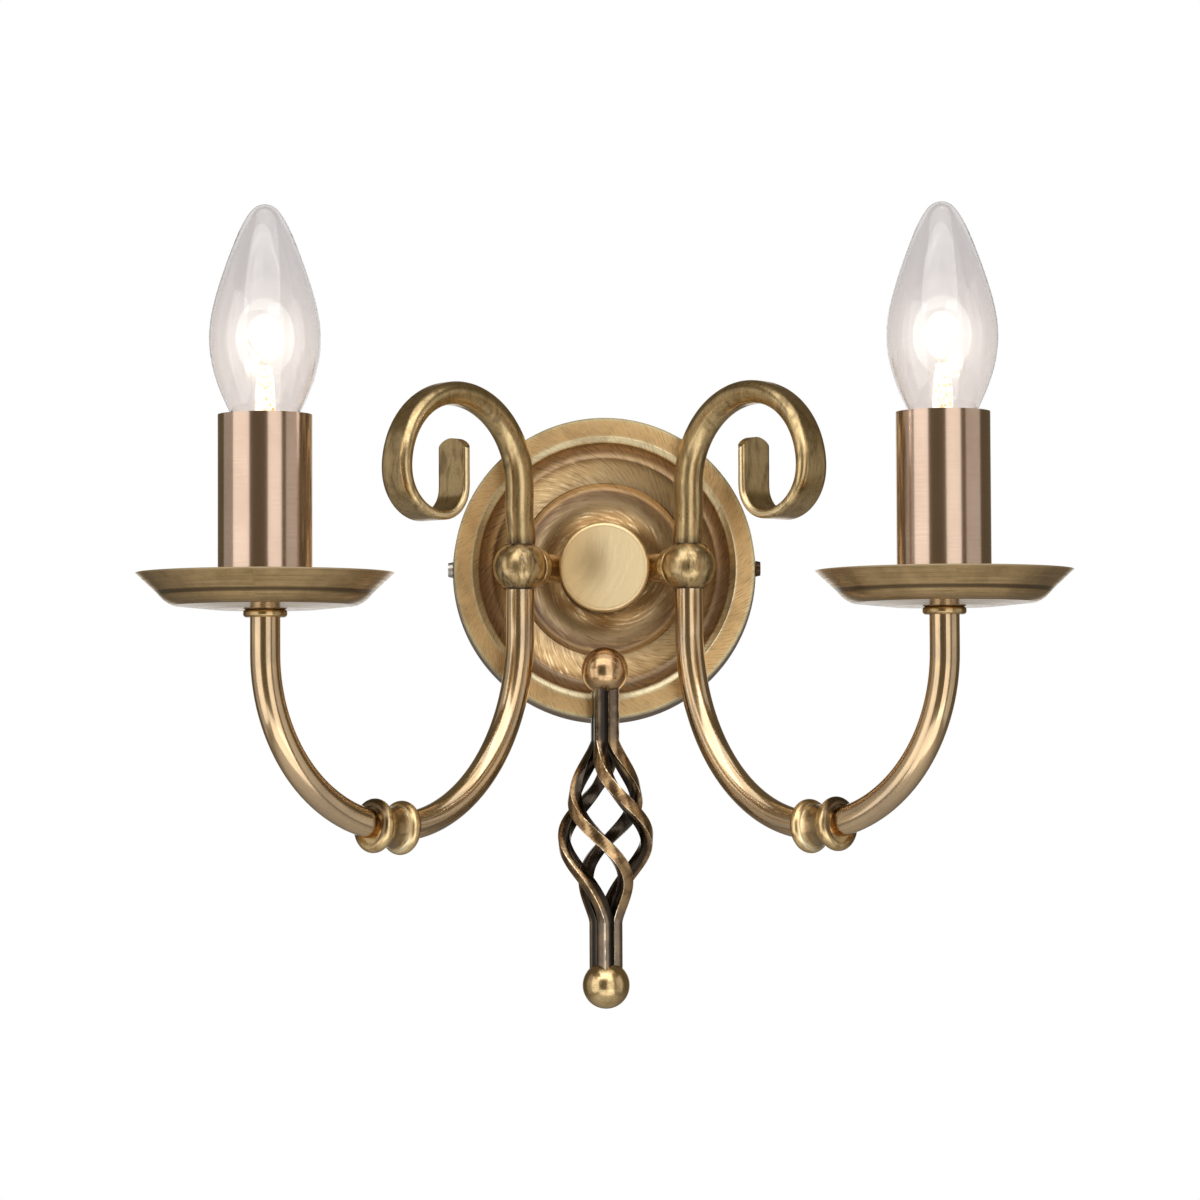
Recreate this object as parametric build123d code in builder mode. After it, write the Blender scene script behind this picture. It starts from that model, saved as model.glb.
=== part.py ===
from build123d import *
from math import cos, pi, radians, sin, sqrt
import os

# Double arm wall sconce in antique brass, in millimetres.
# The wall is the plane y = 0 and the light stands out along -Y, with +Z up. "Depth" is the distance
# from the wall. The hub's axis runs along Y through the origin. Each arm lies in an upright plane
# that leaves the hub at arm_angle; in it, "reach" is measured along the plane from the hub's axis.

# ---------------------------------------------------------------- driving dimensions
# rose
rose_radius = 50.8
rose_flare = 1.6
rose_depth = 32.0
rose_wall = 1.0
rose_edge_round = 1.2
flange_width = 6.4
bead_width = 2.2
bead_drop = 2.2
cove_width = 4.0
cove_drop = 9.0
cove_hollow = 0.18
dish_width = 8.6
dish_drop = 2.0
dish_step = 0.9
hub_seat_depth = 20.0
hub_seat_radius = 15.6
cone_hollow = 0.14

# hub
hub_radius = 14.6
hub_front_depth = 36.5
hub_chamber_radius = 10.0
hub_back_wall = 3.0
cap_radius = 15.1
cap_thickness = 4.5
cap_round = 1.3
cap_spigot_length = 4.0
nipple_radius = 5.0
nipple_bore_radius = 3.8
nipple_back_depth = 12.0
washer_radius = 9.0
washer_thickness = 1.0
nipple_nut_flats = 16.0
nipple_nut_thickness = 3.0

# arms
arm_angle = 45.0
arm_axis_depth = 13.7
ball_reach = 40.0
ball_radius = 9.0
tube_radius = 4.75
tube_wall = 1.0
neck_start_reach = 15.5
wire_way_start_reach = 13.6
neck_collar_radius = 6.4
neck_collar_length = 3.0
nut_chamfer = 0.3
socket_depth_limit = 5.0
socket_clearance = 0.06
arm_drop = 30.7
arm_inner_drop = 22.0
arm_bend_radius = 55.1
tube_end_height = 14.0

# scroll, measured from the arm ball's centre
scroll_rise = 27.1
scroll_top_radius = 29.2
scroll_outer_radius = 25.7
scroll_lower_radius = 15.2
scroll_inner_radius = 10.0
scroll_end_length = 16.0
strip_width = 13.5
strip_thickness = 3.0
strip_tip_radius = 8.2

# bobbin
bobbin_offset = 4.2
bobbin_half_length = 8.0
bobbin_flange_radius = 8.8
bobbin_waist_radius = 6.6
bobbin_flange_length = 4.4
bobbin_recess_radius = 6.3
bobbin_recess_depth = 1.2
bobbin_ridge_rise = 0.6

# drip pan; heights are measured down from the hub's axis
pan_rim_radius = 40.4
pan_rim_drop = 5.4
pan_wall = 1.0
pan_flare_radius = 34.2
pan_flare_drop = 5.8
pan_ledge = 0.8
pan_bowl_radius = 28.6
pan_bowl_drop = 3.6
pan_floor_drop = 1.2
pan_floor_radius = 17.0
pan_bowl_fullness = 0.42
collar_radius = 6.9
collar_height = 2.5
pan_nut_flats = 14.0
pan_nut_height = 3.0

# candle
sleeve_radius = 14.85
sleeve_wall = 1.0
sleeve_length = 60.0
holder_radius = 12.2
holder_stem_radius = 7.5
holder_stem_height = 10.0
holder_gap = 0.6
holder_height = 38.0
holder_grip = 13.0
socket_wall = 1.2
socket_wire_radius = 1.9
shell_radius = 7.65
shell_wall = 0.35
contact_radius = 3.0
contact_thickness = 0.8

# bulb: a clear 35 mm candle lamp with a 14 mm screw cap
bulb_radius = 17.5
bulb_length = 98.4
glass_wall = 0.8
bulb_widest_share = 0.578
bulb_cap_radius = 6.95
bulb_thread_depth = 0.55
bulb_cap_length = 17.0
bulb_thread_pitch = 2.82
bulb_foot_length = 4.5
bulb_foot_radius = 2.4
bulb_cap_skirt = 1.0
insulator_thickness = 2.0
glass_seat = 3.0
bulb_lift_gap = 0.1
stem_radius = 4.2
stem_length = 28.0
stem_pinch_radius = 2.3
stem_pinch_length = 2.0
filament_radius = 0.6
filament_span = 13.0
filament_rise = 9.0
filament_lead_radius = 0.4
filament_lead_spacing = 2.6
filament_lead_bend = 1.0
filament_overhang = 0.5

# wall bracket
bracket_thickness = 2.0
bracket_width = 18.0
bracket_gap = 1.2
bracket_disc_radius = 24.0
wall_hole_spacing = 60.0
wall_slot_radius = 2.3
wall_slot_length = 14.0
cable_hole_radius = 8.0
side_screw_depth = 22.0
side_screw_radius = 1.5
side_screw_clearance = 0.2
side_screw_head_radius = 2.7
side_screw_head_height = 1.6
side_screw_length = 7.0
side_screw_slot = 0.8
tab_margin = 5.0
screw_head_taper = 12.0

# wiring
block_length = 22.0
block_height = 10.0
block_depth = 12.0
block_drop = 11.5
pole_spacing = 8.0
clamp_screw_radius = 1.4
clamp_screw_sink = 0.8
clamp_screw_slot = 0.5
block_round = 1.0
lead_entry_drop = 2.5
lead_radius = 1.3
lead_spacing = 3.0
lead_plane_depth = 8.0
lead_chamber_gap = 0.9
earth_screw_drop = 16.5
earth_screw_radius = 2.0
earth_head_radius = 3.6
earth_head_height = 2.4
earth_screw_slot = 0.9
earth_screw_end_gap = 0.2

# drop
drop_depth = 42.0
drop_top_height = 34.8
drop_ball_spacing = 104.7
drop_ball_radius = 7.85
bar_size = 4.0
bar_gap = 0.06
bar_sink = 3.4
bar_straight_top = 15.6
bar_straight_bottom = 13.1
basket_radius = 14.0
basket_fullness = 1.4
bundle_turn = 13.0
basket_twist = 210.0
twist_ease = 0.2
basket_steps = 36
drop_stud_radius = 2.0
drop_spacer_radius = 3.2
drop_stud_tail = 8.0
drop_nut_flats = 7.0
drop_nut_thickness = 3.0
spacer_seat = 0.7
dish_slope_gap = 1.0

# ---------------------------------------------------------------- worked out from them
fit_gap = 0.02
slope_step = 0.05
sides = (("left", -1), ("right", 1))
arm_cos = cos(radians(90 - arm_angle))
arm_sin = sin(radians(90 - arm_angle))
tube_bore = tube_radius - tube_wall
candle_reach = ball_reach + 2 * arm_bend_radius
neck_end_reach = ball_reach - socket_depth_limit
pan_underside = -pan_rim_drop - pan_flare_drop - pan_bowl_drop - pan_floor_drop - pan_ledge
pan_inside = pan_underside + pan_wall
collar_underside = pan_underside - collar_height
tube_top = pan_inside + tube_end_height
nut_top = pan_inside + pan_nut_height
holder_bottom = nut_top + holder_gap
holder_top = holder_bottom + holder_height + holder_stem_height
holder_floor = tube_top + holder_grip
contact_top = holder_floor + contact_thickness
bulb_foot = contact_top + bulb_lift_gap
bulb_top = bulb_foot + bulb_length
cap_bottom = bulb_foot + bulb_foot_length
cap_top = cap_bottom + bulb_cap_length
cap_root = bulb_cap_radius - bulb_thread_depth
cap_inner = cap_root - bulb_cap_skirt
flange_inner = rose_radius - flange_width
bead_inner = flange_inner - bead_width
dish_outer = bead_inner - cove_width
dish_inner = dish_outer - dish_width
dish_outer_depth = rose_depth - bead_drop - cove_drop
dish_inner_depth = dish_outer_depth - dish_drop
hub_chamber_depth = hub_seat_depth + hub_back_wall
rose_inner = rose_radius - rose_wall
bracket_half = sqrt(rose_inner**2 - (bracket_width / 2) ** 2) - bracket_gap / 2
drop_bottom_height = drop_top_height + drop_ball_spacing
bar_pitch = bar_size / 2 + bar_gap / 2

turning = Plane(origin=(0, 0, 0), x_dir=(1, 0, 0), z_dir=(0, 0, -1))  # local x = radius, y = depth

os.makedirs("parts", exist_ok=True)


def keep(piece, name):
    piece.part.label = name
    export_step(piece.part, f"parts/{name}.step")


def facing(depth, x=0.0, z=0.0):
    """A plane parallel to the wall at a depth, its normal pointing into the room."""
    return Plane(origin=(x, -depth, z), x_dir=(1, 0, 0), z_dir=(0, -1, 0))


def level(centre, z):
    """A level plane at a height over a point."""
    return Plane(origin=(centre.X, centre.Y, z), x_dir=(1, 0, 0), z_dir=(0, 0, 1))


def arm_direction(sign):
    return Vector(sign * arm_cos, -arm_sin, 0)


def arm_point(sign, reach, z):
    along = arm_direction(sign)
    return Vector(along.X * reach, along.Y * reach - arm_axis_depth, z)


def upright(sign, reach=0.0):
    """The arm's upright plane: local x runs outward from a reach, local y is height."""
    along = arm_direction(sign)
    return Plane(
        origin=arm_point(sign, reach, 0),
        x_dir=(along.X, along.Y, 0),
        z_dir=(along.Y, -along.X, 0),
    )


def hex_nut(plane, flats, thickness, bore):
    with BuildPart() as nut:
        with BuildSketch(plane):
            RegularPolygon(flats / 2, 6, major_radius=False)
            Circle(bore, mode=Mode.SUBTRACT)
        extrude(amount=thickness)
        chamfer(nut.edges().filter_by(GeomType.CIRCLE), length=nut_chamfer)
    return nut


# ---------------------------------------------------------------- rose
def rose_side_radius(depth):
    """Radius of the rose's side wall at a depth: it flares a little towards the wall."""
    return rose_radius + rose_flare * (rose_depth - depth) / rose_depth


def rose_section(back_depth):
    """Half section of the rose as a filled shape, from a depth out to its front."""
    with BuildLine() as outline:
        Polyline(
            (0, hub_seat_depth),
            (0, back_depth),
            (rose_side_radius(back_depth), back_depth),
            (rose_radius, rose_depth),
            (flange_inner, rose_depth),
            (bead_inner, rose_depth - bead_drop),
        )
        cove = Line(
            (bead_inner, rose_depth - bead_drop),
            (dish_outer, dish_outer_depth),
            mode=Mode.PRIVATE,
        )
        SagittaArc(cove @ 0, cove @ 1, cove_hollow * cove.length)
        Polyline(
            (dish_outer, dish_outer_depth),
            (dish_inner, dish_inner_depth),
            (dish_inner - dish_step / 2, dish_inner_depth + dish_step),
        )
        cone = Line(
            (dish_inner - dish_step / 2, dish_inner_depth + dish_step),
            (hub_seat_radius, hub_seat_depth),
            mode=Mode.PRIVATE,
        )
        SagittaArc(cone @ 0, cone @ 1, cone_hollow * cone.length)
        Line((hub_seat_radius, hub_seat_depth), (0, hub_seat_depth))
    return outline


with BuildPart() as rose:
    with BuildSketch(turning) as rose_solid:
        add(rose_section(0.0).line)
        make_face()
        corner = rose_solid.vertices().sort_by(Axis.X)[-2:].sort_by(Axis.Y)[0]
        fillet(corner, radius=rose_edge_round)
    revolve(axis=Axis.Y)
    with BuildSketch(turning) as rose_hollow:
        add(rose_section(-2 * rose_wall).line)
        make_face()
        offset(amount=-rose_wall, kind=Kind.INTERSECTION)
    revolve(axis=Axis.Y, mode=Mode.SUBTRACT)
    with BuildSketch(facing(0)):
        Circle(nipple_radius + fit_gap)
        with Locations((0, -drop_top_height)):
            Circle(drop_stud_radius + fit_gap)
    extrude(amount=rose_depth, mode=Mode.SUBTRACT)
    for side, sign in sides:
        inside_wall = Plane(
            origin=(sign * (rose_inner - side_screw_radius), -side_screw_depth, 0),
            z_dir=(sign, 0, 0),
        )
        with BuildSketch(inside_wall):
            Circle(side_screw_radius + side_screw_clearance)
        extrude(amount=2 * side_screw_radius + rose_wall + rose_flare, mode=Mode.SUBTRACT)
keep(rose, "rose")

# ---------------------------------------------------------------- wall bracket
with BuildPart() as wall_bracket:
    with BuildSketch(facing(0)):
        Rectangle(2 * bracket_half, bracket_width)
        Circle(bracket_disc_radius)
        Circle(cable_hole_radius, mode=Mode.SUBTRACT)
        with GridLocations(wall_hole_spacing, 0, 2, 1):
            SlotOverall(wall_slot_length, 2 * wall_slot_radius, mode=Mode.SUBTRACT)
        with Locations((0, -earth_screw_drop)):
            Circle(earth_screw_radius, mode=Mode.SUBTRACT)
    extrude(amount=bracket_thickness)
    with BuildSketch(facing(0)):
        with GridLocations(2 * bracket_half - bracket_thickness, 0, 2, 1):
            Rectangle(bracket_thickness, bracket_width)
    extrude(amount=side_screw_depth + tab_margin)
    with BuildSketch(Plane.YZ):
        with Locations((-side_screw_depth, 0)):
            Circle(side_screw_radius)
    extrude(amount=rose_radius, both=True, mode=Mode.SUBTRACT)
keep(wall_bracket, "wall_bracket")

with BuildPart() as rose_side_screws:
    head_seat = rose_side_radius(side_screw_depth - side_screw_head_radius)
    for side, sign in sides:
        head_plane = Plane(origin=(sign * head_seat, -side_screw_depth, 0), z_dir=(sign, 0, 0))
        with BuildSketch(head_plane):
            Circle(side_screw_head_radius)
        extrude(amount=side_screw_head_height, taper=screw_head_taper)
        with BuildSketch(head_plane):
            Circle(side_screw_radius)
        extrude(amount=-side_screw_length)
        with BuildSketch(head_plane.offset(side_screw_head_height)):
            Rectangle(2 * side_screw_head_radius, side_screw_slot)
        extrude(amount=-side_screw_head_height / 2, mode=Mode.SUBTRACT)
keep(rose_side_screws, "rose_side_screws")

# ---------------------------------------------------------------- terminal block and earth screw
block_centre = block_drop + block_height / 2

with BuildPart() as terminal_block:
    with BuildSketch(facing(bracket_thickness, 0, block_centre)):
        RectangleRounded(block_length, block_height, block_round)
    extrude(amount=block_depth)
    with BuildSketch(Plane.XY.offset(block_drop)):
        with Locations((0, -lead_plane_depth)):
            with GridLocations(pole_spacing, 0, 2, 1):
                Circle(lead_radius + fit_gap)
    extrude(amount=block_height, mode=Mode.SUBTRACT)
    with BuildSketch(facing(bracket_thickness + block_depth, 0, block_centre)):
        with GridLocations(pole_spacing, 0, 2, 1):
            Circle(clamp_screw_radius)
    extrude(amount=-(bracket_thickness + block_depth - lead_plane_depth), mode=Mode.SUBTRACT)
keep(terminal_block, "terminal_block")

with BuildPart() as terminal_screws:
    screw_seat = lead_plane_depth + lead_radius + fit_gap
    with BuildSketch(facing(screw_seat, 0, block_centre)):
        with GridLocations(pole_spacing, 0, 2, 1):
            Circle(clamp_screw_radius - fit_gap)
    screw_top = bracket_thickness + block_depth - clamp_screw_sink
    extrude(amount=screw_top - screw_seat)
    with BuildSketch(facing(screw_top, 0, block_centre)):
        with GridLocations(pole_spacing, 0, 2, 1):
            Rectangle(2 * clamp_screw_radius, clamp_screw_slot)
    extrude(amount=-clamp_screw_slot, mode=Mode.SUBTRACT)
keep(terminal_screws, "terminal_screws")

with BuildPart() as earth_screw:
    with BuildSketch(facing(bracket_thickness, 0, -earth_screw_drop)):
        Circle(earth_head_radius)
    extrude(amount=earth_head_height, taper=screw_head_taper)
    with BuildSketch(facing(bracket_thickness, 0, -earth_screw_drop)):
        Circle(earth_screw_radius)
    extrude(amount=-(bracket_thickness - earth_screw_end_gap))
    with BuildSketch(facing(bracket_thickness + earth_head_height, 0, -earth_screw_drop)):
        Rectangle(2 * earth_head_radius, earth_screw_slot)
        Rectangle(earth_screw_slot, 2 * earth_head_radius)
    extrude(amount=-earth_head_height / 2, mode=Mode.SUBTRACT)
keep(earth_screw, "earth_screw")

# ---------------------------------------------------------------- hub
with BuildPart() as hub_body:
    with BuildSketch(facing(hub_seat_depth)):
        Circle(hub_radius)
    extrude(amount=hub_front_depth - hub_seat_depth)
    with BuildSketch(facing(hub_chamber_depth)):
        Circle(hub_chamber_radius)
    extrude(amount=hub_front_depth - hub_chamber_depth, mode=Mode.SUBTRACT)
    with BuildSketch(facing(hub_seat_depth)):
        Circle(nipple_radius)
    extrude(amount=hub_back_wall, mode=Mode.SUBTRACT)
    for side, sign in sides:
        along = arm_direction(sign)
        with BuildSketch(Plane(origin=arm_point(sign, wire_way_start_reach, 0), z_dir=along)):
            Circle(tube_bore)
        extrude(amount=ball_reach, mode=Mode.SUBTRACT)
        with BuildSketch(Plane(origin=arm_point(sign, neck_start_reach, 0), z_dir=along)):
            Circle(tube_radius)
        extrude(amount=ball_reach, mode=Mode.SUBTRACT)
keep(hub_body, "hub_body")

with BuildPart() as hub_cap:
    with BuildSketch(facing(hub_front_depth)):
        Circle(cap_radius)
    extrude(amount=cap_thickness)
    fillet(hub_cap.edges().sort_by(Axis.Y)[0], radius=cap_round)
    with BuildSketch(facing(hub_front_depth)):
        Circle(hub_chamber_radius - fit_gap)
        Circle(hub_chamber_radius - 2 * rose_wall, mode=Mode.SUBTRACT)
    extrude(amount=-cap_spigot_length)
keep(hub_cap, "hub_cap")

with BuildPart() as hub_nipple:
    with BuildSketch(facing(nipple_back_depth)):
        Circle(nipple_radius)
        Circle(nipple_bore_radius, mode=Mode.SUBTRACT)
    extrude(amount=hub_chamber_depth - nipple_back_depth)
keep(hub_nipple, "hub_nipple")

washer_front = hub_seat_depth - rose_wall
with BuildPart() as hub_washer:
    with BuildSketch(facing(washer_front)):
        Circle(washer_radius)
        Circle(nipple_radius, mode=Mode.SUBTRACT)
    extrude(amount=-washer_thickness)
keep(hub_washer, "hub_washer")

nut_front = washer_front - washer_thickness
hub_nut = hex_nut(
    facing(nut_front - nipple_nut_thickness), nipple_nut_flats, nipple_nut_thickness, nipple_radius
)
keep(hub_nut, "hub_lock_nut")


# ---------------------------------------------------------------- arms
def lower_arm_line(sign, first_z, last_z):
    """The U of an arm: down from the ball, round the bend, longer inside, and up to the pan."""
    low_reach = ball_reach + arm_bend_radius
    inner_bend_height = arm_drop + arm_bend_radius - arm_inner_drop
    with BuildLine(upright(sign)) as route:
        Line((ball_reach, first_z), (ball_reach, -arm_inner_drop))
        EllipticalCenterArc((low_reach, -arm_inner_drop), arm_bend_radius, inner_bend_height, 180)
        CenterArc((low_reach, -arm_drop), arm_bend_radius, -90, 90)
        Line((candle_reach, -arm_drop), (candle_reach, last_z))
    return route


def scroll_stations():
    """Places along the scroll as (reach, height), (direction), flatness, from the ball to the tip."""
    outer_centre = scroll_rise + scroll_top_radius - scroll_outer_radius
    lower_reach = scroll_top_radius + scroll_outer_radius - scroll_lower_radius
    inner_centre = outer_centre - scroll_lower_radius + scroll_inner_radius
    arcs = (
        (scroll_top_radius, scroll_rise, scroll_top_radius, 180, 90, 6),
        (scroll_top_radius, outer_centre, scroll_outer_radius, 90, 0, 7),
        (lower_reach, outer_centre, scroll_lower_radius, 0, -90, 6),
        (lower_reach, inner_centre, scroll_inner_radius, -90, -180, 6),
    )
    press_start = scroll_top_radius * pi / 4
    press_length = (scroll_top_radius / 2 + scroll_outer_radius + scroll_lower_radius) * pi / 2
    stations = []
    for share in (0, 0.5, 1):
        height = socket_depth_limit + (scroll_rise - socket_depth_limit) * share
        stations.append(((0, height), (0, 1), 0.0))
    travelled = 0.0
    for reach, height, radius, first, last, steps in arcs:
        for step in range(1, steps + 1):
            angle = radians(first + (last - first) * step / steps)
            travelled += radius * radians(first - last) / steps
            pressed = min(1.0, max(0.0, (travelled - press_start) / press_length))
            centre = (reach + radius * cos(angle), height + radius * sin(angle))
            stations.append((centre, (sin(angle), -cos(angle)), pressed))
    tip_reach = lower_reach - scroll_inner_radius
    for share in (0.25, 0.5, 0.75, 1):
        stations.append(((tip_reach, inner_centre + scroll_end_length * share), (0, 1), 1.0))
    return stations


for side, sign in sides:
    arm = upright(sign)
    at_ball = upright(sign, ball_reach)
    along = arm_direction(sign)
    arm_axis = Axis(arm_point(sign, 0, 0), along)
    ball_centre = arm_point(sign, ball_reach, 0)
    across = Vector(along.Y, -along.X, 0)

    # neck from the hub, its collar, and the ball that the arm's tubes meet in
    collar_face = ball_reach - sqrt(ball_radius**2 - neck_collar_radius**2) - fit_gap
    with BuildPart() as neck:
        with BuildSketch(Plane(origin=arm_point(sign, neck_start_reach, 0), z_dir=along)):
            Circle(tube_radius)
            Circle(tube_bore, mode=Mode.SUBTRACT)
        extrude(amount=neck_end_reach - neck_start_reach)
    keep(neck, f"neck_{side}")

    with BuildPart() as neck_collar:
        with BuildSketch(Plane(origin=arm_point(sign, collar_face - neck_collar_length, 0), z_dir=along)):
            Circle(neck_collar_radius)
            Circle(tube_radius, mode=Mode.SUBTRACT)
        extrude(amount=neck_collar_length)
        rims = neck_collar.edges().filter_by(GeomType.CIRCLE).group_by(SortBy.RADIUS)[-1]
        fillet(rims, radius=neck_collar_length / 4)
    keep(neck_collar, f"neck_collar_{side}")

    with BuildPart() as arm_ball:
        with Locations(ball_centre):
            Sphere(ball_radius)
        with BuildSketch(Plane(origin=arm_point(sign, collar_face, 0), z_dir=along)):
            Circle(ball_radius)
        extrude(amount=-ball_radius, mode=Mode.SUBTRACT)
        with BuildSketch(Plane(origin=arm_point(sign, 0, 0), z_dir=along)):
            Circle(tube_radius)
        extrude(amount=neck_end_reach, mode=Mode.SUBTRACT)
        with BuildSketch(Plane(origin=ball_centre, z_dir=along)):
            Circle(tube_bore)
        extrude(amount=-ball_radius, mode=Mode.SUBTRACT)
        with BuildSketch(level(ball_centre, -ball_radius)):
            Circle(tube_bore)
        extrude(amount=2 * ball_radius, mode=Mode.SUBTRACT)
        for height, way in ((socket_depth_limit, 1), (-socket_depth_limit, -1)):
            with BuildSketch(level(ball_centre, height)):
                Circle(tube_radius + socket_clearance)
            extrude(amount=way * ball_radius, mode=Mode.SUBTRACT)
    keep(arm_ball, f"arm_ball_{side}")

    # U-shaped lower tube
    arm_route = lower_arm_line(sign, -socket_depth_limit, tube_top)
    with BuildPart() as lower_arm:
        with BuildSketch(Plane(origin=arm_route.line @ 0, z_dir=arm_route.line % 0)):
            Circle(tube_radius)
            Circle(tube_bore, mode=Mode.SUBTRACT)
        sweep(path=arm_route.line)
    keep(lower_arm, f"lower_arm_{side}")

    # scroll: a round tube up to the bend, then pressed flatter and flatter down to a strip
    with BuildLine(at_ball) as scroll_bore:
        Line((0, socket_depth_limit), (0, scroll_rise))
        CenterArc((scroll_top_radius, scroll_rise), scroll_top_radius, 180, -45)
    with BuildPart() as scroll:
        for (reach, height), (step_reach, step_height), pressed in scroll_stations():
            centre = arm_point(sign, ball_reach + reach, height)
            heading = along * step_reach + Vector(0, 0, step_height)
            width = 2 * (tube_radius + socket_clearance) + (strip_width - 2 * tube_radius) * pressed
            thickness = 2 * tube_radius + (strip_thickness - 2 * tube_radius) * pressed
            with BuildSketch(Plane(origin=centre, x_dir=across, z_dir=heading)):
                SlotOverall(width, thickness)
        loft()
        with BuildSketch(Plane(origin=scroll_bore.line @ 0, z_dir=scroll_bore.line % 0)):
            Circle(tube_bore)
        sweep(path=scroll_bore.line, mode=Mode.SUBTRACT)
        tip_plane = Plane(origin=centre - Vector(0, 0, strip_tip_radius), x_dir=across, z_dir=along * -1)
        with BuildSketch(tip_plane):
            Rectangle(2 * strip_width, 2 * strip_tip_radius, align=(Align.CENTER, Align.MIN))
            Circle(strip_tip_radius, mode=Mode.SUBTRACT)
        extrude(amount=strip_thickness, both=True, mode=Mode.SUBTRACT)
    keep(scroll, f"scroll_{side}")

    # bobbin threaded on the U, a little outward of its lowest point
    low_reach = ball_reach + arm_bend_radius
    lean = bobbin_offset / arm_bend_radius
    bobbin_height = -arm_drop - sqrt(arm_bend_radius**2 - bobbin_offset**2)
    bobbin_centre = arm_point(sign, low_reach + bobbin_offset, bobbin_height)
    bobbin_way = along * sqrt(1 - lean**2) + Vector(0, 0, lean)
    spool = Plane(origin=bobbin_centre, x_dir=bobbin_way, z_dir=across)
    inner_edge = bobbin_half_length - bobbin_flange_length
    ridge_radius = bobbin_waist_radius + bobbin_ridge_rise
    with BuildPart() as bobbin:
        with BuildSketch(spool):
            with BuildLine():
                Polyline(
                    (-bobbin_half_length, bobbin_waist_radius),
                    (-bobbin_half_length, 0),
                    (bobbin_half_length, 0),
                    (bobbin_half_length, bobbin_waist_radius),
                )
                ThreePointArc(
                    (bobbin_half_length, bobbin_waist_radius),
                    (bobbin_half_length - bobbin_flange_length / 2, bobbin_flange_radius),
                    (inner_edge, ridge_radius),
                )
                ThreePointArc(
                    (inner_edge, ridge_radius),
                    (0, bobbin_waist_radius),
                    (-inner_edge, ridge_radius),
                )
                ThreePointArc(
                    (-inner_edge, ridge_radius),
                    (bobbin_flange_length / 2 - bobbin_half_length, bobbin_flange_radius),
                    (-bobbin_half_length, bobbin_waist_radius),
                )
            make_face()
        revolve(axis=Axis(bobbin_centre, bobbin_way))
        with BuildSketch(Plane(origin=arm_route.line @ 0, z_dir=arm_route.line % 0)):
            Circle(tube_radius)
        sweep(path=arm_route.line, mode=Mode.SUBTRACT)
        for way in (-1, 1):
            end_point = bobbin_centre + bobbin_way * (way * bobbin_half_length)
            with BuildSketch(Plane(origin=end_point, z_dir=bobbin_way * -way)):
                Circle(bobbin_recess_radius)
            extrude(amount=bobbin_recess_depth, mode=Mode.SUBTRACT)
    keep(bobbin, f"bobbin_{side}")

    # drip pan on its collar, held down by a nut on the tube's end
    candle = upright(sign, candle_reach)
    candle_foot = arm_point(sign, candle_reach, 0)
    candle_axis = Axis(candle_foot, (0, 0, 1))
    with BuildPart() as pan_collar:
        with BuildSketch(level(candle_foot, collar_underside)):
            Circle(collar_radius)
            Circle(tube_radius, mode=Mode.SUBTRACT)
        extrude(amount=collar_height)
        rims = pan_collar.edges().filter_by(GeomType.CIRCLE).group_by(SortBy.RADIUS)[-1]
        fillet(rims, radius=collar_height / 2.5)
    keep(pan_collar, f"pan_collar_{side}")

    def pan_section(above):
        flare_z = -pan_rim_drop - pan_flare_drop
        bowl_z = flare_z - pan_ledge - pan_bowl_drop
        rim = [(pan_rim_radius, above)]
        if above > -pan_rim_drop:
            rim.append((pan_rim_radius, -pan_rim_drop))
        with BuildLine() as outline:
            Polyline(
                (pan_floor_radius, pan_underside),
                (0, pan_underside),
                (0, above),
                *rim,
                (pan_flare_radius, flare_z),
                (pan_flare_radius - pan_ledge, flare_z - pan_ledge),
            )
            ThreePointArc(
                (pan_flare_radius - pan_ledge, flare_z - pan_ledge),
                ((pan_flare_radius + pan_bowl_radius) / 2, bowl_z + pan_bowl_fullness * pan_bowl_drop),
                (pan_bowl_radius, bowl_z),
            )
            Line((pan_bowl_radius, bowl_z), (pan_floor_radius, pan_underside))
        return outline

    with BuildPart() as drip_pan:
        with BuildSketch(candle):
            add(pan_section(-pan_rim_drop).line)
            make_face()
        revolve(axis=candle_axis)
        with BuildSketch(candle):
            add(pan_section(-pan_rim_drop + 3 * pan_wall).line)
            make_face()
            offset(amount=-pan_wall, kind=Kind.INTERSECTION)
        revolve(axis=candle_axis, mode=Mode.SUBTRACT)
        with BuildSketch(level(candle_foot, pan_underside)):
            Circle(tube_radius + fit_gap)
        extrude(amount=-pan_underside, mode=Mode.SUBTRACT)
    keep(drip_pan, f"drip_pan_{side}")

    pan_nut = hex_nut(level(candle_foot, pan_inside), pan_nut_flats, pan_nut_height, tube_radius)
    keep(pan_nut, f"pan_nut_{side}")

    # candle sleeve round the lampholder
    with BuildPart() as candle_sleeve:
        with BuildSketch(level(candle_foot, pan_inside)):
            Circle(sleeve_radius)
            Circle(sleeve_radius - sleeve_wall, mode=Mode.SUBTRACT)
        extrude(amount=sleeve_length)
    keep(candle_sleeve, f"candle_sleeve_{side}")

    with BuildPart() as lampholder:
        with BuildSketch(level(candle_foot, holder_bottom)):
            Circle(holder_stem_radius)
        extrude(amount=holder_stem_height)
        with BuildSketch(level(candle_foot, holder_bottom + holder_stem_height)):
            Circle(holder_radius)
        extrude(amount=holder_height)
        with BuildSketch(level(candle_foot, holder_bottom)):
            Circle(tube_radius)
        extrude(amount=tube_top - holder_bottom, mode=Mode.SUBTRACT)
        with BuildSketch(level(candle_foot, tube_top)):
            Circle(socket_wire_radius)
        extrude(amount=holder_grip, mode=Mode.SUBTRACT)
        with BuildSketch(level(candle_foot, holder_floor)):
            Circle(shell_radius)
        extrude(amount=holder_top - holder_floor, mode=Mode.SUBTRACT)
    keep(lampholder, f"lampholder_{side}")

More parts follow.
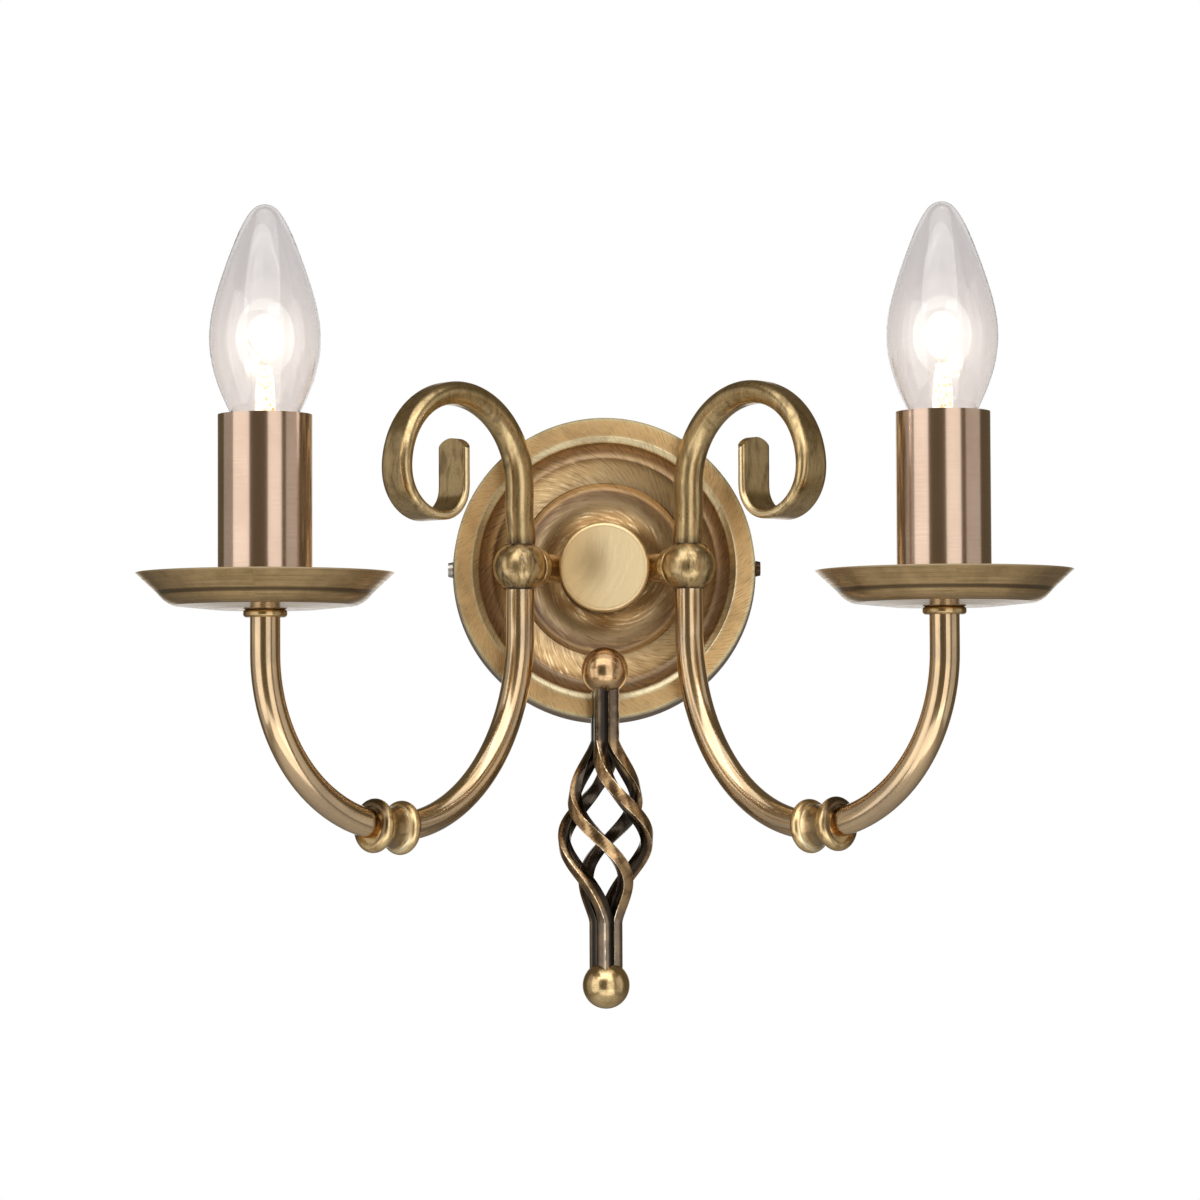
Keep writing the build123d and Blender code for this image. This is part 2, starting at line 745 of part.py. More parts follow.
    shell_bottom = holder_floor + contact_thickness + socket_wall
    with BuildPart() as holder_shell:
        with BuildSketch(level(candle_foot, shell_bottom)):
            Circle(shell_radius)
            Circle(shell_radius - shell_wall, mode=Mode.SUBTRACT)
        extrude(amount=holder_top - socket_wall - shell_bottom)
    keep(holder_shell, f"holder_shell_{side}")

    with BuildPart() as holder_contact:
        with BuildSketch(level(candle_foot, holder_floor)):
            Circle(contact_radius)
        extrude(amount=contact_thickness)
        with BuildSketch(level(candle_foot, holder_floor)):
            Circle(socket_wire_radius - fit_gap)
        extrude(amount=-holder_grip / 3)
    keep(holder_contact, f"holder_contact_{side}")

    # inner lead from the terminal block to the lampholder
    pole = sign * pole_spacing / 2
    lane = sign * lead_spacing / 2
    turn_depth = hub_chamber_depth + lead_radius + lead_chamber_gap
    turn_x = sign * (turn_depth - arm_axis_depth)
    lead_start = Vector(pole, -lead_plane_depth, block_drop + block_height / 3)
    with BuildLine() as lead_route:
        FilletPolyline(
            lead_start,
            (pole, -lead_plane_depth, block_drop - lead_entry_drop),
            (lane, -lead_plane_depth, 0),
            (lane, -turn_depth, 0),
            (turn_x, -turn_depth, 0),
            ball_centre,
            arm_point(sign, ball_reach, -arm_inner_drop / 2),
            radius=[6.0, 3.8, 4.0, 5.0, 6.0],
        )
        add(lower_arm_line(sign, -arm_inner_drop / 2, holder_floor - holder_grip / 3).line)
    with BuildPart() as inner_lead:
        with BuildSketch(Plane(origin=lead_start, z_dir=(0, 0, -1))):
            Circle(lead_radius)
        sweep(path=lead_route.line)
    keep(inner_lead, f"inner_lead_{side}")

    # bulb: cap with rolled thread, foot, glass, stem and filament
    thread_turns = int(bulb_cap_length / bulb_thread_pitch) - 1
    thread_start = cap_bottom + bulb_thread_pitch
    thread_end = thread_start + thread_turns * bulb_thread_pitch
    with BuildPart() as bulb_cap:
        with BuildSketch(candle):
            with BuildLine():
                Polyline((cap_inner, cap_bottom), (cap_root, cap_bottom), (cap_root, thread_start))
                for turn in range(thread_turns):
                    root = thread_start + turn * bulb_thread_pitch
                    ThreePointArc(
                        (cap_root, root),
                        (bulb_cap_radius, root + bulb_thread_pitch / 2),
                        (cap_root, root + bulb_thread_pitch),
                    )
                Polyline(
                    (cap_root, thread_end),
                    (cap_root, cap_top),
                    (cap_inner, cap_top),
                    (cap_inner, cap_bottom),
                )
            make_face()
        revolve(axis=candle_axis)
    keep(bulb_cap, f"bulb_cap_{side}")

    with BuildPart() as bulb_foot_piece:
        with BuildSketch(candle):
            with BuildLine():
                Polyline(
                    (0, bulb_foot),
                    (bulb_foot_radius, bulb_foot),
                    (bulb_foot_radius, bulb_foot + bulb_foot_length / 3),
                    (cap_inner, cap_bottom),
                    (cap_inner, cap_bottom + insulator_thickness),
                    (0, cap_bottom + insulator_thickness),
                    (0, bulb_foot),
                )
            make_face()
        revolve(axis=candle_axis)
    keep(bulb_foot_piece, f"bulb_foot_{side}")

    def glass_section(inset):
        widest = bulb_foot + bulb_widest_share * bulb_length
        tip = bulb_top - inset
        with BuildLine() as outline:
            Polyline(
                (0, cap_top - glass_seat),
                (cap_inner - inset, cap_top - glass_seat),
                (cap_inner - inset, cap_top),
            )
            Spline(
                (cap_inner - inset, cap_top),
                (0.69 * bulb_radius - inset, widest - 0.62 * (widest - cap_top)),
                (0.93 * bulb_radius - inset, widest - 0.3 * (widest - cap_top)),
                (bulb_radius - inset, widest),
                (0.79 * bulb_radius - inset, widest + 0.43 * (tip - widest)),
                (0.53 * bulb_radius - inset, widest + 0.73 * (tip - widest)),
                (0.3 * bulb_radius - inset, widest + 0.92 * (tip - widest)),
                (0, tip),
                tangents=((0.5, 1), (-1, 0)),
            )
            Line((0, tip), (0, cap_top - glass_seat))
        return outline

    with BuildPart() as bulb_glass:
        with BuildSketch(candle):
            add(glass_section(0.0).line)
            make_face()
        revolve(axis=candle_axis)
        with BuildSketch(candle):
            add(glass_section(glass_wall).line)
            make_face()
        revolve(axis=candle_axis, mode=Mode.SUBTRACT)
    keep(bulb_glass, f"bulb_glass_{side}")

    stem_foot = cap_top - glass_seat + glass_wall + fit_gap
    stem_top = stem_foot + stem_length
    with BuildPart() as bulb_stem:
        with BuildSketch(candle):
            with BuildLine():
                Line((0, stem_foot), (stem_radius, stem_foot))
                Spline(
                    (stem_radius, stem_foot),
                    (0.8 * stem_radius, stem_foot + 0.3 * stem_length),
                    (stem_pinch_radius, stem_top - stem_pinch_length),
                    tangents=((-0.2, 1), (-0.2, 1)),
                )
                Polyline(
                    (stem_pinch_radius, stem_top - stem_pinch_length),
                    (stem_pinch_radius, stem_top),
                    (0, stem_top),
                    (0, stem_foot),
                )
            make_face()
        revolve(axis=candle_axis)
    keep(bulb_stem, f"bulb_stem_{side}")

    filament_height = stem_top + filament_rise
    half_span = filament_span / 2
    with BuildPart() as bulb_leads:
        for way in (-1, 1):
            with BuildLine(candle) as lead_line:
                FilletPolyline(
                    (way * filament_lead_spacing / 2, stem_top),
                    (way * filament_lead_spacing / 2, stem_top + filament_rise / 4),
                    (way * half_span, stem_top + 0.8 * filament_rise),
                    (way * half_span, filament_height - filament_radius),
                    radius=filament_lead_bend,
                )
            with BuildSketch(level(lead_line.line @ 0, stem_top)):
                Circle(filament_lead_radius)
            sweep(path=lead_line.line)
    keep(bulb_leads, f"bulb_leads_{side}")

    with BuildPart() as bulb_filament:
        filament_end = arm_point(sign, candle_reach - half_span - filament_overhang, filament_height)
        with BuildSketch(Plane(origin=filament_end, z_dir=along)):
            Circle(filament_radius)
        extrude(amount=filament_span + 2 * filament_overhang)
    keep(bulb_filament, f"bulb_filament_{side}")

# ---------------------------------------------------------------- twisted drop
drop_axis_point = Vector(0, -drop_depth, 0)
basket_top = -drop_top_height - drop_ball_radius - bar_straight_top
basket_bottom = -drop_bottom_height + drop_ball_radius + bar_straight_bottom
bars_top = -drop_top_height - drop_ball_radius + bar_sink
bars_bottom = -drop_bottom_height + drop_ball_radius - bar_sink
bundle_radius = bar_pitch * sqrt(2)


def bar_centre(start_angle, z):
    """Centre of a bar at a height, its bearing round the drop's axis and how far the basket swells."""
    share = min(1.0, max(0.0, (basket_top - z) / (basket_top - basket_bottom)))
    swell = sin(pi * share) ** basket_fullness
    radius = bundle_radius + (basket_radius - bundle_radius) * swell
    turned = share - twist_ease * sin(2 * pi * share) / (2 * pi)
    bearing = radians(start_angle + bundle_turn + basket_twist * turned)
    return Vector(radius * cos(bearing), radius * sin(bearing), z), bearing, swell


bar_heights = [bars_top, (bars_top + basket_top) / 2]
for step in range(basket_steps + 1):
    bar_heights.append(basket_top + (basket_bottom - basket_top) * step / basket_steps)
bar_heights += [(bars_bottom + basket_bottom) / 2, bars_bottom]

bars = []
for start_angle in (45, 135, 225, 315):
    with BuildPart() as bar:
        for z in bar_heights:
            centre, bearing, swell = bar_centre(start_angle, z)
            heading = bar_centre(start_angle, z - slope_step)[0] - bar_centre(start_angle, z + slope_step)[0]
            heading = heading.normalized()
            face_turn = bearing - radians(45) * (1 - swell)
            outward = Vector(cos(face_turn), sin(face_turn), 0)
            square_on = (outward - heading * outward.dot(heading)).normalized()
            with BuildSketch(Plane(origin=centre + drop_axis_point, x_dir=square_on, z_dir=heading)):
                Rectangle(bar_size, bar_size)
        loft(ruled=True)
    bars.append(bar.part.solid())
drop_bars = Compound(label="drop_bars", children=bars)
export_step(drop_bars, "parts/drop_bars.step")

bundle_width = 2 * bar_size + bar_gap + 2 * fit_gap
for name, height, way, pocket_turn in (
    ("drop_ball_top", drop_top_height, -1, bundle_turn),
    ("drop_ball_bottom", drop_bottom_height, 1, (bundle_turn + basket_twist) % 90),
):
    ball_middle = Vector(0, -drop_depth, -height)
    with BuildPart() as drop_ball:
        with Locations(ball_middle):
            Sphere(drop_ball_radius)
        with BuildSketch(Plane(origin=ball_middle + Vector(0, 0, way * (drop_ball_radius - bar_sink)))):
            Rectangle(bundle_width, bundle_width, rotation=pocket_turn)
        extrude(amount=way * drop_ball_radius, mode=Mode.SUBTRACT)
        if way < 0:
            with BuildSketch(facing(0, 0, -height)):
                Circle(drop_stud_radius)
            extrude(amount=drop_depth - drop_ball_radius / 2, mode=Mode.SUBTRACT)
            with BuildSketch(facing(0, 0, -height)):
                Circle(drop_spacer_radius + fit_gap)
            extrude(amount=drop_depth - drop_ball_radius + spacer_seat, mode=Mode.SUBTRACT)
    keep(drop_ball, name)

# the stud passes through the rose's dish; its shoulder stands between the dish and the ball
dish_share = (drop_top_height - dish_inner) / (dish_outer - dish_inner)
stud_seat = dish_inner_depth + dish_share * dish_drop
with BuildPart() as drop_stud:
    with BuildSketch(facing(stud_seat - rose_wall - drop_stud_tail, 0, -drop_top_height)):
        Circle(drop_stud_radius)
    extrude(amount=drop_depth - drop_ball_radius / 2 - stud_seat + rose_wall + drop_stud_tail)
    with BuildSketch(facing(stud_seat + dish_slope_gap, 0, -drop_top_height)):
        Circle(drop_spacer_radius)
    extrude(amount=drop_depth - drop_ball_radius + spacer_seat - stud_seat - dish_slope_gap)
keep(drop_stud, "drop_stud")

drop_nut = hex_nut(
    facing(stud_seat - rose_wall - dish_slope_gap - drop_nut_thickness, 0, -drop_top_height),
    drop_nut_flats,
    drop_nut_thickness,
    drop_stud_radius,
)
keep(drop_nut, "drop_nut")
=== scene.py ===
from math import cos, pi, radians, sin, tau

import bmesh
import bpy
from mathutils import Matrix, Vector


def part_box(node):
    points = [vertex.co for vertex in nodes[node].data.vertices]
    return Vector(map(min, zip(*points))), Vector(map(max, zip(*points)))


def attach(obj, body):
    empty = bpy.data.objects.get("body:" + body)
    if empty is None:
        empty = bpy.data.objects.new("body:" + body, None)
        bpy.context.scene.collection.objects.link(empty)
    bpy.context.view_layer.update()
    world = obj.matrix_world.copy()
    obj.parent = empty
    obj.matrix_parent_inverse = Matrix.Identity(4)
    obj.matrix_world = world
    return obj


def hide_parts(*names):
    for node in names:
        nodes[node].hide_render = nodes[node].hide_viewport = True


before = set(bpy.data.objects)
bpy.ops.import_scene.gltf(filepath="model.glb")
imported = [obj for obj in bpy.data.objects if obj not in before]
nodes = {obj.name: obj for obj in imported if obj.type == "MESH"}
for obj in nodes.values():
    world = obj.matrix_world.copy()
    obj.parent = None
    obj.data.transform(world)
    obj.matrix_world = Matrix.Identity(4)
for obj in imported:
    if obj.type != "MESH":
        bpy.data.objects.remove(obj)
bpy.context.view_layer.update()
scene = bpy.context.scene
sides = ("left", "right")
print("frame loaded:", len(nodes), "nodes")


class Wire:
    # one output socket, so that shader maths reads as sums
    def __init__(self, paint, socket):
        self.paint = paint
        self.socket = socket

    def sum(self, operation, other=None, swapped=False):
        pair = [self] if other is None else ([other, self] if swapped else [self, other])
        return self.paint.node("Math", {"operation": operation}, dict(enumerate(pair)))

    def __add__(self, other):
        return self.sum("ADD", other)

    __radd__ = __add__

    def __mul__(self, other):
        return self.sum("MULTIPLY", other)

    def __sub__(self, other):
        return self.sum("SUBTRACT", other)

    def __rsub__(self, other):
        return self.sum("SUBTRACT", other, True)

    def __truediv__(self, other):
        return self.sum("DIVIDE", other)

    def __gt__(self, other):
        return self.sum("GREATER_THAN", other)

    def __abs__(self):
        return self.sum("ABSOLUTE")

    def root(self):
        return self.sum("SQRT")

    def sign(self):
        return self.sum("SIGN")

    def atLeast(self, floor):
        return self.sum("MAXIMUM", floor)

    def angleFrom(self, other):
        return self.sum("ARCTAN2", other)

    def ease(self, low, high, first=0.0, last=1.0):
        # goes smoothly from first to last as the value goes from low to high
        settings = {"interpolation_type": "SMOOTHSTEP"}
        values = {"Value": self, "From Min": low, "From Max": high, "To Min": first, "To Max": last}
        return self.paint.node("MapRange", settings, values)


class Paint:
    # one material or world and its nodes
    def __init__(self, name, tree=None):
        if tree is None:
            self.material = bpy.data.materials.new(name)
            self.material.use_nodes = True
            tree = self.material.node_tree
        tree.nodes.clear()
        self.tree = tree

    def node(self, kind, settings=None, values=None, out=0):
        made = self.tree.nodes.new("ShaderNode" + kind)
        for key, value in (settings or {}).items():
            if key == "stops":
                ramp = made.color_ramp
                while len(ramp.elements) < len(value):
                    ramp.elements.new(1.0)
                for element, (place, colour) in zip(ramp.elements, value):
                    element.position = place
                    element.color = (*colour, 1.0)
            else:
                setattr(made, key, value)
        for key, value in (values or {}).items():
            if isinstance(value, Wire):
                self.tree.links.new(value.socket, made.inputs[key])
            elif isinstance(value, tuple) and made.inputs[key].type == "RGBA":
                made.inputs[key].default_value = (*value, 1.0)
            else:
                made.inputs[key].default_value = value
        return Wire(self, made.outputs[out]) if made.outputs else None

    def place(self, stretch=(1, 1, 1), move=(0, 0, 0)):
        # Object coordinates in millimetres, moved first and then stretched
        spot = self.node("TexCoord", out="Object")
        spot = self.node("VectorMath", {"operation": "SCALE"}, {0: spot, "Scale": 1000.0})
        spot = self.node("VectorMath", {"operation": "SUBTRACT"}, {0: spot, 1: move})
        if stretch != (1, 1, 1):
            spot = self.node("VectorMath", {"operation": "MULTIPLY"}, {0: spot, 1: stretch})
        return spot

    def apart(self, spot):
        made = self.node("SeparateXYZ", None, {0: spot})
        return [Wire(self, made.socket.node.outputs[i]) for i in range(3)]

    def joined(self, x, y, z):
        return self.node("CombineXYZ", None, {0: x, 1: y, 2: z})

    def cloud(self, spot, scale, detail=3.0, roughness=0.55, distortion=0.0):
        values = {"Vector": spot, "Scale": scale, "Detail": detail}
        return self.node("TexNoise", None, values | {"Roughness": roughness, "Distortion": distortion})

    def blend(self, share, first, second):
        # the Mix node's sockets for colours are 6, 7 and, going out, 2
        return self.node("Mix", {"data_type": "RGBA"}, {0: share, 6: first, 7: second}, out=2)

    def layers(self, tone, *rows):
        # lays colours over a tone, each row a share and its colour
        for share, colour in rows:
            tone = self.blend(share, tone, colour)
        return tone

    def ramp(self, value, stops):
        return self.node("ValToRGB", {"stops": stops}, {0: value})

    def bump(self, height, strength, distance):
        values = {"Height": height, "Strength": strength, "Distance": distance}
        return self.node("Bump", None, values, out="Normal")

    def surface(self, **values):
        # the Principled shader; names with underscores stand for sockets with spaces
        named = {key.replace("_", " "): value for key, value in values.items()}
        shader = self.node("BsdfPrincipled", None, named)
        self.node("OutputMaterial", None, {"Surface": shader})
        return self.material


# places on the lamp, in mm; the two arms stand at 45 degrees to the wall
lampSet = {
    "axisDepth": 13.7,  # the arms' upright planes meet this far in front of the wall
    "slant": 0.5 ** 0.5,
    "candleX": 106.2,
    "candleY": -119.9,
    "bendReach": 95.1,
    "bendHeight": -30.7,
    "bendRadius": 55.1,
    "nearNothing": 0.0001,  # keeps the bend's angle defined above its centre
}


def distance(x, y):
    return (x * x + y * y).root()


def besideArm(x, y):
    # sideways distance from the upright plane that an arm lies in
    return (abs(x) + y + lampSet["axisDepth"]) * lampSet["slant"]


def alongArm(paint):
    # distance along the U of either arm, and the two distances across the tube
    x, y, z = paint.apart(paint.place())
    reach = (abs(x) - y - lampSet["axisDepth"]) * lampSet["slant"]
    out = reach - lampSet["bendReach"]
    above = z - lampSet["bendHeight"]
    low = (0 - above).atLeast(lampSet["nearNothing"])
    run = out.angleFrom(low) * lampSet["bendRadius"] + above.atLeast(0.0) * out.sign()
    return run, distance(out, low) - lampSet["bendRadius"], besideArm(x, y)


def roundCandle(paint):
    # radius and angle about either candle's upright axis, and height
    x, y, z = paint.apart(paint.place())
    across = abs(x) - lampSet["candleX"]
    depth = y - lampSet["candleY"]
    return distance(across, depth), across.angleFrom(depth), z


def roundHub(paint):
    # radius and angle about the hub's axis, the angle's seam straight down
    x, y, z = paint.apart(paint.place())
    return distance(x, z), x.angleFrom(z), y


def shaded(colour, share):
    # the same colour, darker or paler
    return tuple(min(1.0, part * share) for part in colour)


def metal(paint, tone, roughness, height, depth, coat=0.25, coatRough=0.1, coatIor=1.5, relief=0.5):
    # lacquered metal; depth of the relief in millimetres
    return paint.surface(
        Base_Color=tone, Metallic=1.0, Roughness=roughness, Coat_Weight=coat, Coat_Roughness=coatRough,
        Coat_IOR=coatIor, Normal=paint.bump(height, relief, depth * 0.001),
    )


# In these settings a cloud is its scale, detail, roughness and distortion,
# and an edge is where it starts and ends, then its value at the start and at the end.
plainSet = {
    "patchCloud": (0.12, 5.0, 0.62, 0.6),
    "patchEdge": (0.36, 0.66),
    "patina": 0.7,
    "strokes": (0.8, 0.8, 4.0),
    "hairCloud": (1.0, 3.0, 0.65),
    "darkHair": (0.42, 0.7, 0.0, 0.25),
    "paleHair": (0.2, 0.42, 0.25, 0.0),
    "darker": 0.45,
    "paler": 1.25,
    "patchRough": 0.06,
    "hairRough": (0.3, 0.7, -0.04, 0.06),
}


def plainBrass(name, light, dark, rough, depth=0.008):
    # brass with patches of patina and fine brush strokes
    paint = Paint(name)
    patches = paint.cloud(paint.place(), *plainSet["patchCloud"]).ease(*plainSet["patchEdge"])
    hair = paint.cloud(paint.place(stretch=plainSet["strokes"]), *plainSet["hairCloud"])
    tone = paint.layers(
        paint.blend(patches * plainSet["patina"], light, dark),
        (hair.ease(*plainSet["darkHair"]), shaded(dark, plainSet["darker"])),
        (hair.ease(*plainSet["paleHair"]), shaded(light, plainSet["paler"])),
    )
    rough = rough + patches * plainSet["patchRough"] + hair.ease(*plainSet["hairRough"])
    return metal(paint, tone, rough, hair, depth)


roseSet = {
    "shadeRadius": 52.0,  # the places of the tones and painted light are shares of this radius
    "lapRadius": 50.0,
    "dishRadius": 42.2,  # the dish lies within, the flange outside
    "coneEdge": (31.0, 26.0),
    "sideEdge": (50.7, 51.2),
    "flangePitch": (2.1, 0.13),
    "dishPitch": (1.3, 0.75, 0.07, 0.1, 3.0),
    "ringPitch": (1.2, 0.1, 0.05, 9.0),
    "turnedPitch": (1.5, 0.05, 5.0),
    "flangeCloud": (1.0, 4.0, 0.66),
    "dishCloud": (1.0, 4.0, 0.64, 0.2),
    "ringCloud": (1.0, 4.0, 0.66, 0.2),
    "turnedCloud": (1.0, 4.0, 0.6),
    "stainCloud": (0.09, 4.0, 0.6, 0.8),
    "stainEdge": (0.48, 0.72, 0.0, 0.35),
    "stain": (0.30, 0.17, 0.07),
    "darkStroke": (0.5, 0.66, 0.0, 0.5),
    "dark": (0.17, 0.095, 0.04),
    "paleStroke": (0.32, 0.46, 0.5, 0.0),
    "pale": (1.0, 0.84, 0.55),
    "beadRise": (42.0, 42.5),
    "beadFall": (42.5, 44.8, 1.0, 0.0),
    "beadHeight": 40,
    "rough": 0.33,
    "strokeRough": (0.3, 0.7, -0.06, 0.1),
    "sideRough": 0.25,
    "relief": 0.02,
    "coat": 0.12,
    "coatRough": 0.14,
    # tones by radius with painted light: a painted shadow beside the hub, painted shade and a painted
    # highlight arc at the step, painted shade then a painted highlight arc where the dish meets the cove,
    # painted highlights along the bead and the outer edge, and painted shade on the side wall
    "tonesAndPaintedLight": (
        (0.28, (0.24, 0.14, 0.055)), (0.327, (0.30, 0.18, 0.07)), (0.385, (0.345, 0.22, 0.10)),
        (0.45, (0.64, 0.46, 0.26)), (0.515, (0.30, 0.22, 0.17)), (0.532, (0.76, 0.62, 0.46)),
        (0.548, (0.47, 0.34, 0.20)), (0.62, (0.64, 0.45, 0.23)), (0.69, (0.57, 0.38, 0.18)),
        (0.728, (0.28, 0.16, 0.065)), (0.735, (0.50, 0.36, 0.22)), (0.746, (0.72, 0.60, 0.46)),
        (0.80, (0.78, 0.66, 0.54)), (0.812, (0.94, 0.73, 0.45)), (0.823, (1.0, 0.92, 0.66)),
        (0.850, (1.0, 0.90, 0.60)), (0.872, (0.93, 0.61, 0.28)), (0.954, (1.0, 0.68, 0.325)),
        (0.967, (1.0, 0.88, 0.52)), (0.979, (0.40, 0.27, 0.15)), (0.990, (0.15, 0.10, 0.06)),
    ),
}


def roseStrokes(paint, radius, lap, y, side):
    # slanting on the flange, curling in the dish, ringed on the cone, turned on the side wall
    acrossFlange, alongFlange = roseSet["flangePitch"]
    flange = paint.joined((lap + radius) * acrossFlange, (lap - radius) * alongFlange, 0.0)
    flange = paint.cloud(flange, *roseSet["flangeCloud"])
    outward, curl, drift, lean, seed = roseSet["dishPitch"]
    dish = paint.joined(radius * outward + lap * curl, lap * drift - radius * lean, seed)
    dish = paint.cloud(dish, *roseSet["dishCloud"])
    outward, curl, drift, seed = roseSet["ringPitch"]
    rings = paint.joined(radius * outward + lap * curl, lap * drift, seed)
    rings = paint.cloud(rings, *roseSet["ringCloud"])
    pitch, drift, seed = roseSet["turnedPitch"]
    turned = paint.cloud(paint.joined(y * pitch, lap * drift, seed), *roseSet["turnedCloud"])
    outside = radius > roseSet["dishRadius"]
    cone = radius.ease(*roseSet["coneEdge"])
    face = outside * flange + (1 - outside) * (dish * (1 - cone) + rings * cone)
    return face * (1 - side) + turned * side


def roseFinish():
    # spun and brushed, with tones, painted highlights and painted shade by radius
    paint = Paint("roseBrass")
    radius, angle, y = roundHub(paint)
    side = radius.ease(*roseSet["sideEdge"])
    strokes = roseStrokes(paint, radius, angle * roseSet["lapRadius"], y, side)
    clouds = paint.cloud(paint.place(), *roseSet["stainCloud"])
    tone = paint.layers(
        paint.ramp(radius / roseSet["shadeRadius"], roseSet["tonesAndPaintedLight"]),
        (clouds.ease(*roseSet["stainEdge"]), roseSet["stain"]),
        (strokes.ease(*roseSet["darkStroke"]), roseSet["dark"]),
        (strokes.ease(*roseSet["paleStroke"]), roseSet["pale"]),
    )
    bead = radius.ease(*roseSet["beadRise"]) * radius.ease(*roseSet["beadFall"])
    rough = roseSet["rough"] + strokes.ease(*roseSet["strokeRough"]) + side * roseSet["sideRough"]
    height = strokes + bead * roseSet["beadHeight"]
    coat = (1 - side) * roseSet["coat"]
    return metal(paint, tone, rough, height, roseSet["relief"], coat, roseSet["coatRough"])


knobSet = {
    "swingX": 26,  # the brush strokes curve round a point to the left of the knob and above its middle
    "swingZ": 9,
    "pitch": (2.0, 0.06, 0.03),
    "cloud": (1.0, 4.0, 0.66, 0.3),
    "smudgeX": 4,
    "smudgeZ": 1.5,
    "smudgeSquash": 0.5,
    "shadeEdge": (-10, 8),
    "shadeRag": 8,
    # painted light: darker on the left of the cap, paler on its right
    "left": (0.80, 0.57, 0.28),
    "right": (1.0, 0.81, 0.49),
    "smudgeEdge": (2.0, 10.5, 0.72, 0.0),
    "smudgeRag": 4,
    "smudge": (0.42, 0.29, 0.135),
    "darkStroke": (0.5, 0.7, 0.0, 0.35),
    "dark": (0.46, 0.32, 0.16),
    "paleStroke": (0.3, 0.46, 0.4, 0.0),
    "pale": (1.0, 0.90, 0.62),
    "rimEdge": (13.2, 13.9, 0.0, 0.6),
    "rim": (0.72, 0.52, 0.27),
    "rough": 0.42,
    "strokeRough": (0.3, 0.7, -0.05, 0.08),
    "cover": {"depth": 0.02, "coat": 0.1, "coatRough": 0.2},
}


def knobFinish():
    # the hub's cap: pale, brushed in curves, with painted shade on its left and painted light on its right,
    # and darker left of its middle
    paint = Paint("knobBrass")
    radius = roundHub(paint)[0]
    x, _, z = paint.apart(paint.place())
    swing = distance(x + knobSet["swingX"], z - knobSet["swingZ"])
    outward, upward, sideways = knobSet["pitch"]
    strokes = paint.joined(swing * outward, z * upward + x * sideways, 0.0)
    strokes = paint.cloud(strokes, *knobSet["cloud"])
    beside = x + knobSet["smudgeX"]
    above = z - knobSet["smudgeZ"]
    smudge = (beside * beside + above * above * knobSet["smudgeSquash"]).root()
    # painted shade on the left going over to painted light on the right
    shade = (x + strokes * knobSet["shadeRag"]).ease(*knobSet["shadeEdge"])
    tone = paint.layers(
        paint.blend(shade, knobSet["left"], knobSet["right"]),
        ((smudge + strokes * knobSet["smudgeRag"]).ease(*knobSet["smudgeEdge"]), knobSet["smudge"]),
        (strokes.ease(*knobSet["darkStroke"]), knobSet["dark"]),
        (strokes.ease(*knobSet["paleStroke"]), knobSet["pale"]),
        (radius.ease(*knobSet["rimEdge"]), knobSet["rim"]),
    )
    rough = knobSet["rough"] + strokes.ease(*knobSet["strokeRough"])
    return metal(paint, tone, rough, strokes, **knobSet["cover"])


armSet = {
    "ringPitch": 3.2,
    "ringCloud": (1.0, 4.0, 0.7),
    "linePitch": (0.05, 1.5),
    "lineCloud": (1.0, 3.0, 0.6),
    "smearPitch": (0.04, 0.1),
    "smearCloud": (1.0, 3.0, 0.5, 0.4),
    "smearEdge": (0.36, 0.7),
    "golden": (0.72, 0.495, 0.245),
    "brown": (0.46, 0.315, 0.165),
    "lineEdge": (0.5, 0.68, 0.0, 0.35),
    "line": (0.30, 0.19, 0.085),
    "ringEdge": (0.52, 0.72, 0.0, 0.12),
    "ring": (0.27, 0.17, 0.085),
    "rough": 0.19,
    "smearRough": (0.35, 0.7, 0.0, 0.05),
    "cover": {"depth": 0.001, "coat": 0.75, "coatRough": 0.07, "coatIor": 2.3},
}


def armFinish():
    # lower arms: golden with cool brown stretches, fine lines along the tube and faint turning rings
    paint = Paint("armBrass")
    run, rise, aside = alongArm(paint)
    rings = paint.cloud(paint.joined(run * armSet["ringPitch"], 0.0, 0.0), *armSet["ringCloud"])
    along, across = armSet["linePitch"]
    lines = paint.cloud(paint.joined(run * along, rise * across, aside * across), *armSet["lineCloud"])
    along, across = armSet["smearPitch"]
    smear = paint.cloud(paint.joined(run * along, rise * across, aside * across), *armSet["smearCloud"])
    tone = paint.layers(
        paint.blend(smear.ease(*armSet["smearEdge"]), armSet["golden"], armSet["brown"]),
        (lines.ease(*armSet["lineEdge"]), armSet["line"]),
        (rings.ease(*armSet["ringEdge"]), armSet["ring"]),
    )
    rough = armSet["rough"] + smear.ease(*armSet["smearRough"])
    return metal(paint, tone, rough, rings, **armSet["cover"])


bobbinSet = {
    "middle": 4.2,  # the bobbin's middle, as a distance along the U
    "ringPitch": 3.0,
    "ringCloud": (1.0, 4.0, 0.7),
    "mottleCloud": (0.22, 4.0, 0.6, 0.6),
    "mottleEdge": (0.42, 0.66),
    "light": (0.84, 0.62, 0.32),
    "dark": (0.54, 0.375, 0.18),
    "ringEdge": (0.5, 0.72, 0.0, 0.2),
    "ring": (0.30, 0.19, 0.09),
    # painted shade in the waist and the end recesses, painted highlight on the flanges
    "waistEdge": (1.6, 3.0, 0.75, 0.0),
    "waistShade": (0.24, 0.15, 0.07),
    "flangeRise": (3.0, 3.5),
    "flangeFall": (3.5, 4.1, 1.0, 0.0),
    "flange": (1.0, 0.86, 0.58),
    "endEdge": (6.9, 7.5, 0.0, 0.85),
    "end": (0.09, 0.055, 0.03),
    "rough": 0.27,
    "mottleRough": 0.08,
    "cover": {"depth": 0.002, "coat": 0.25, "coatRough": 0.12},
}


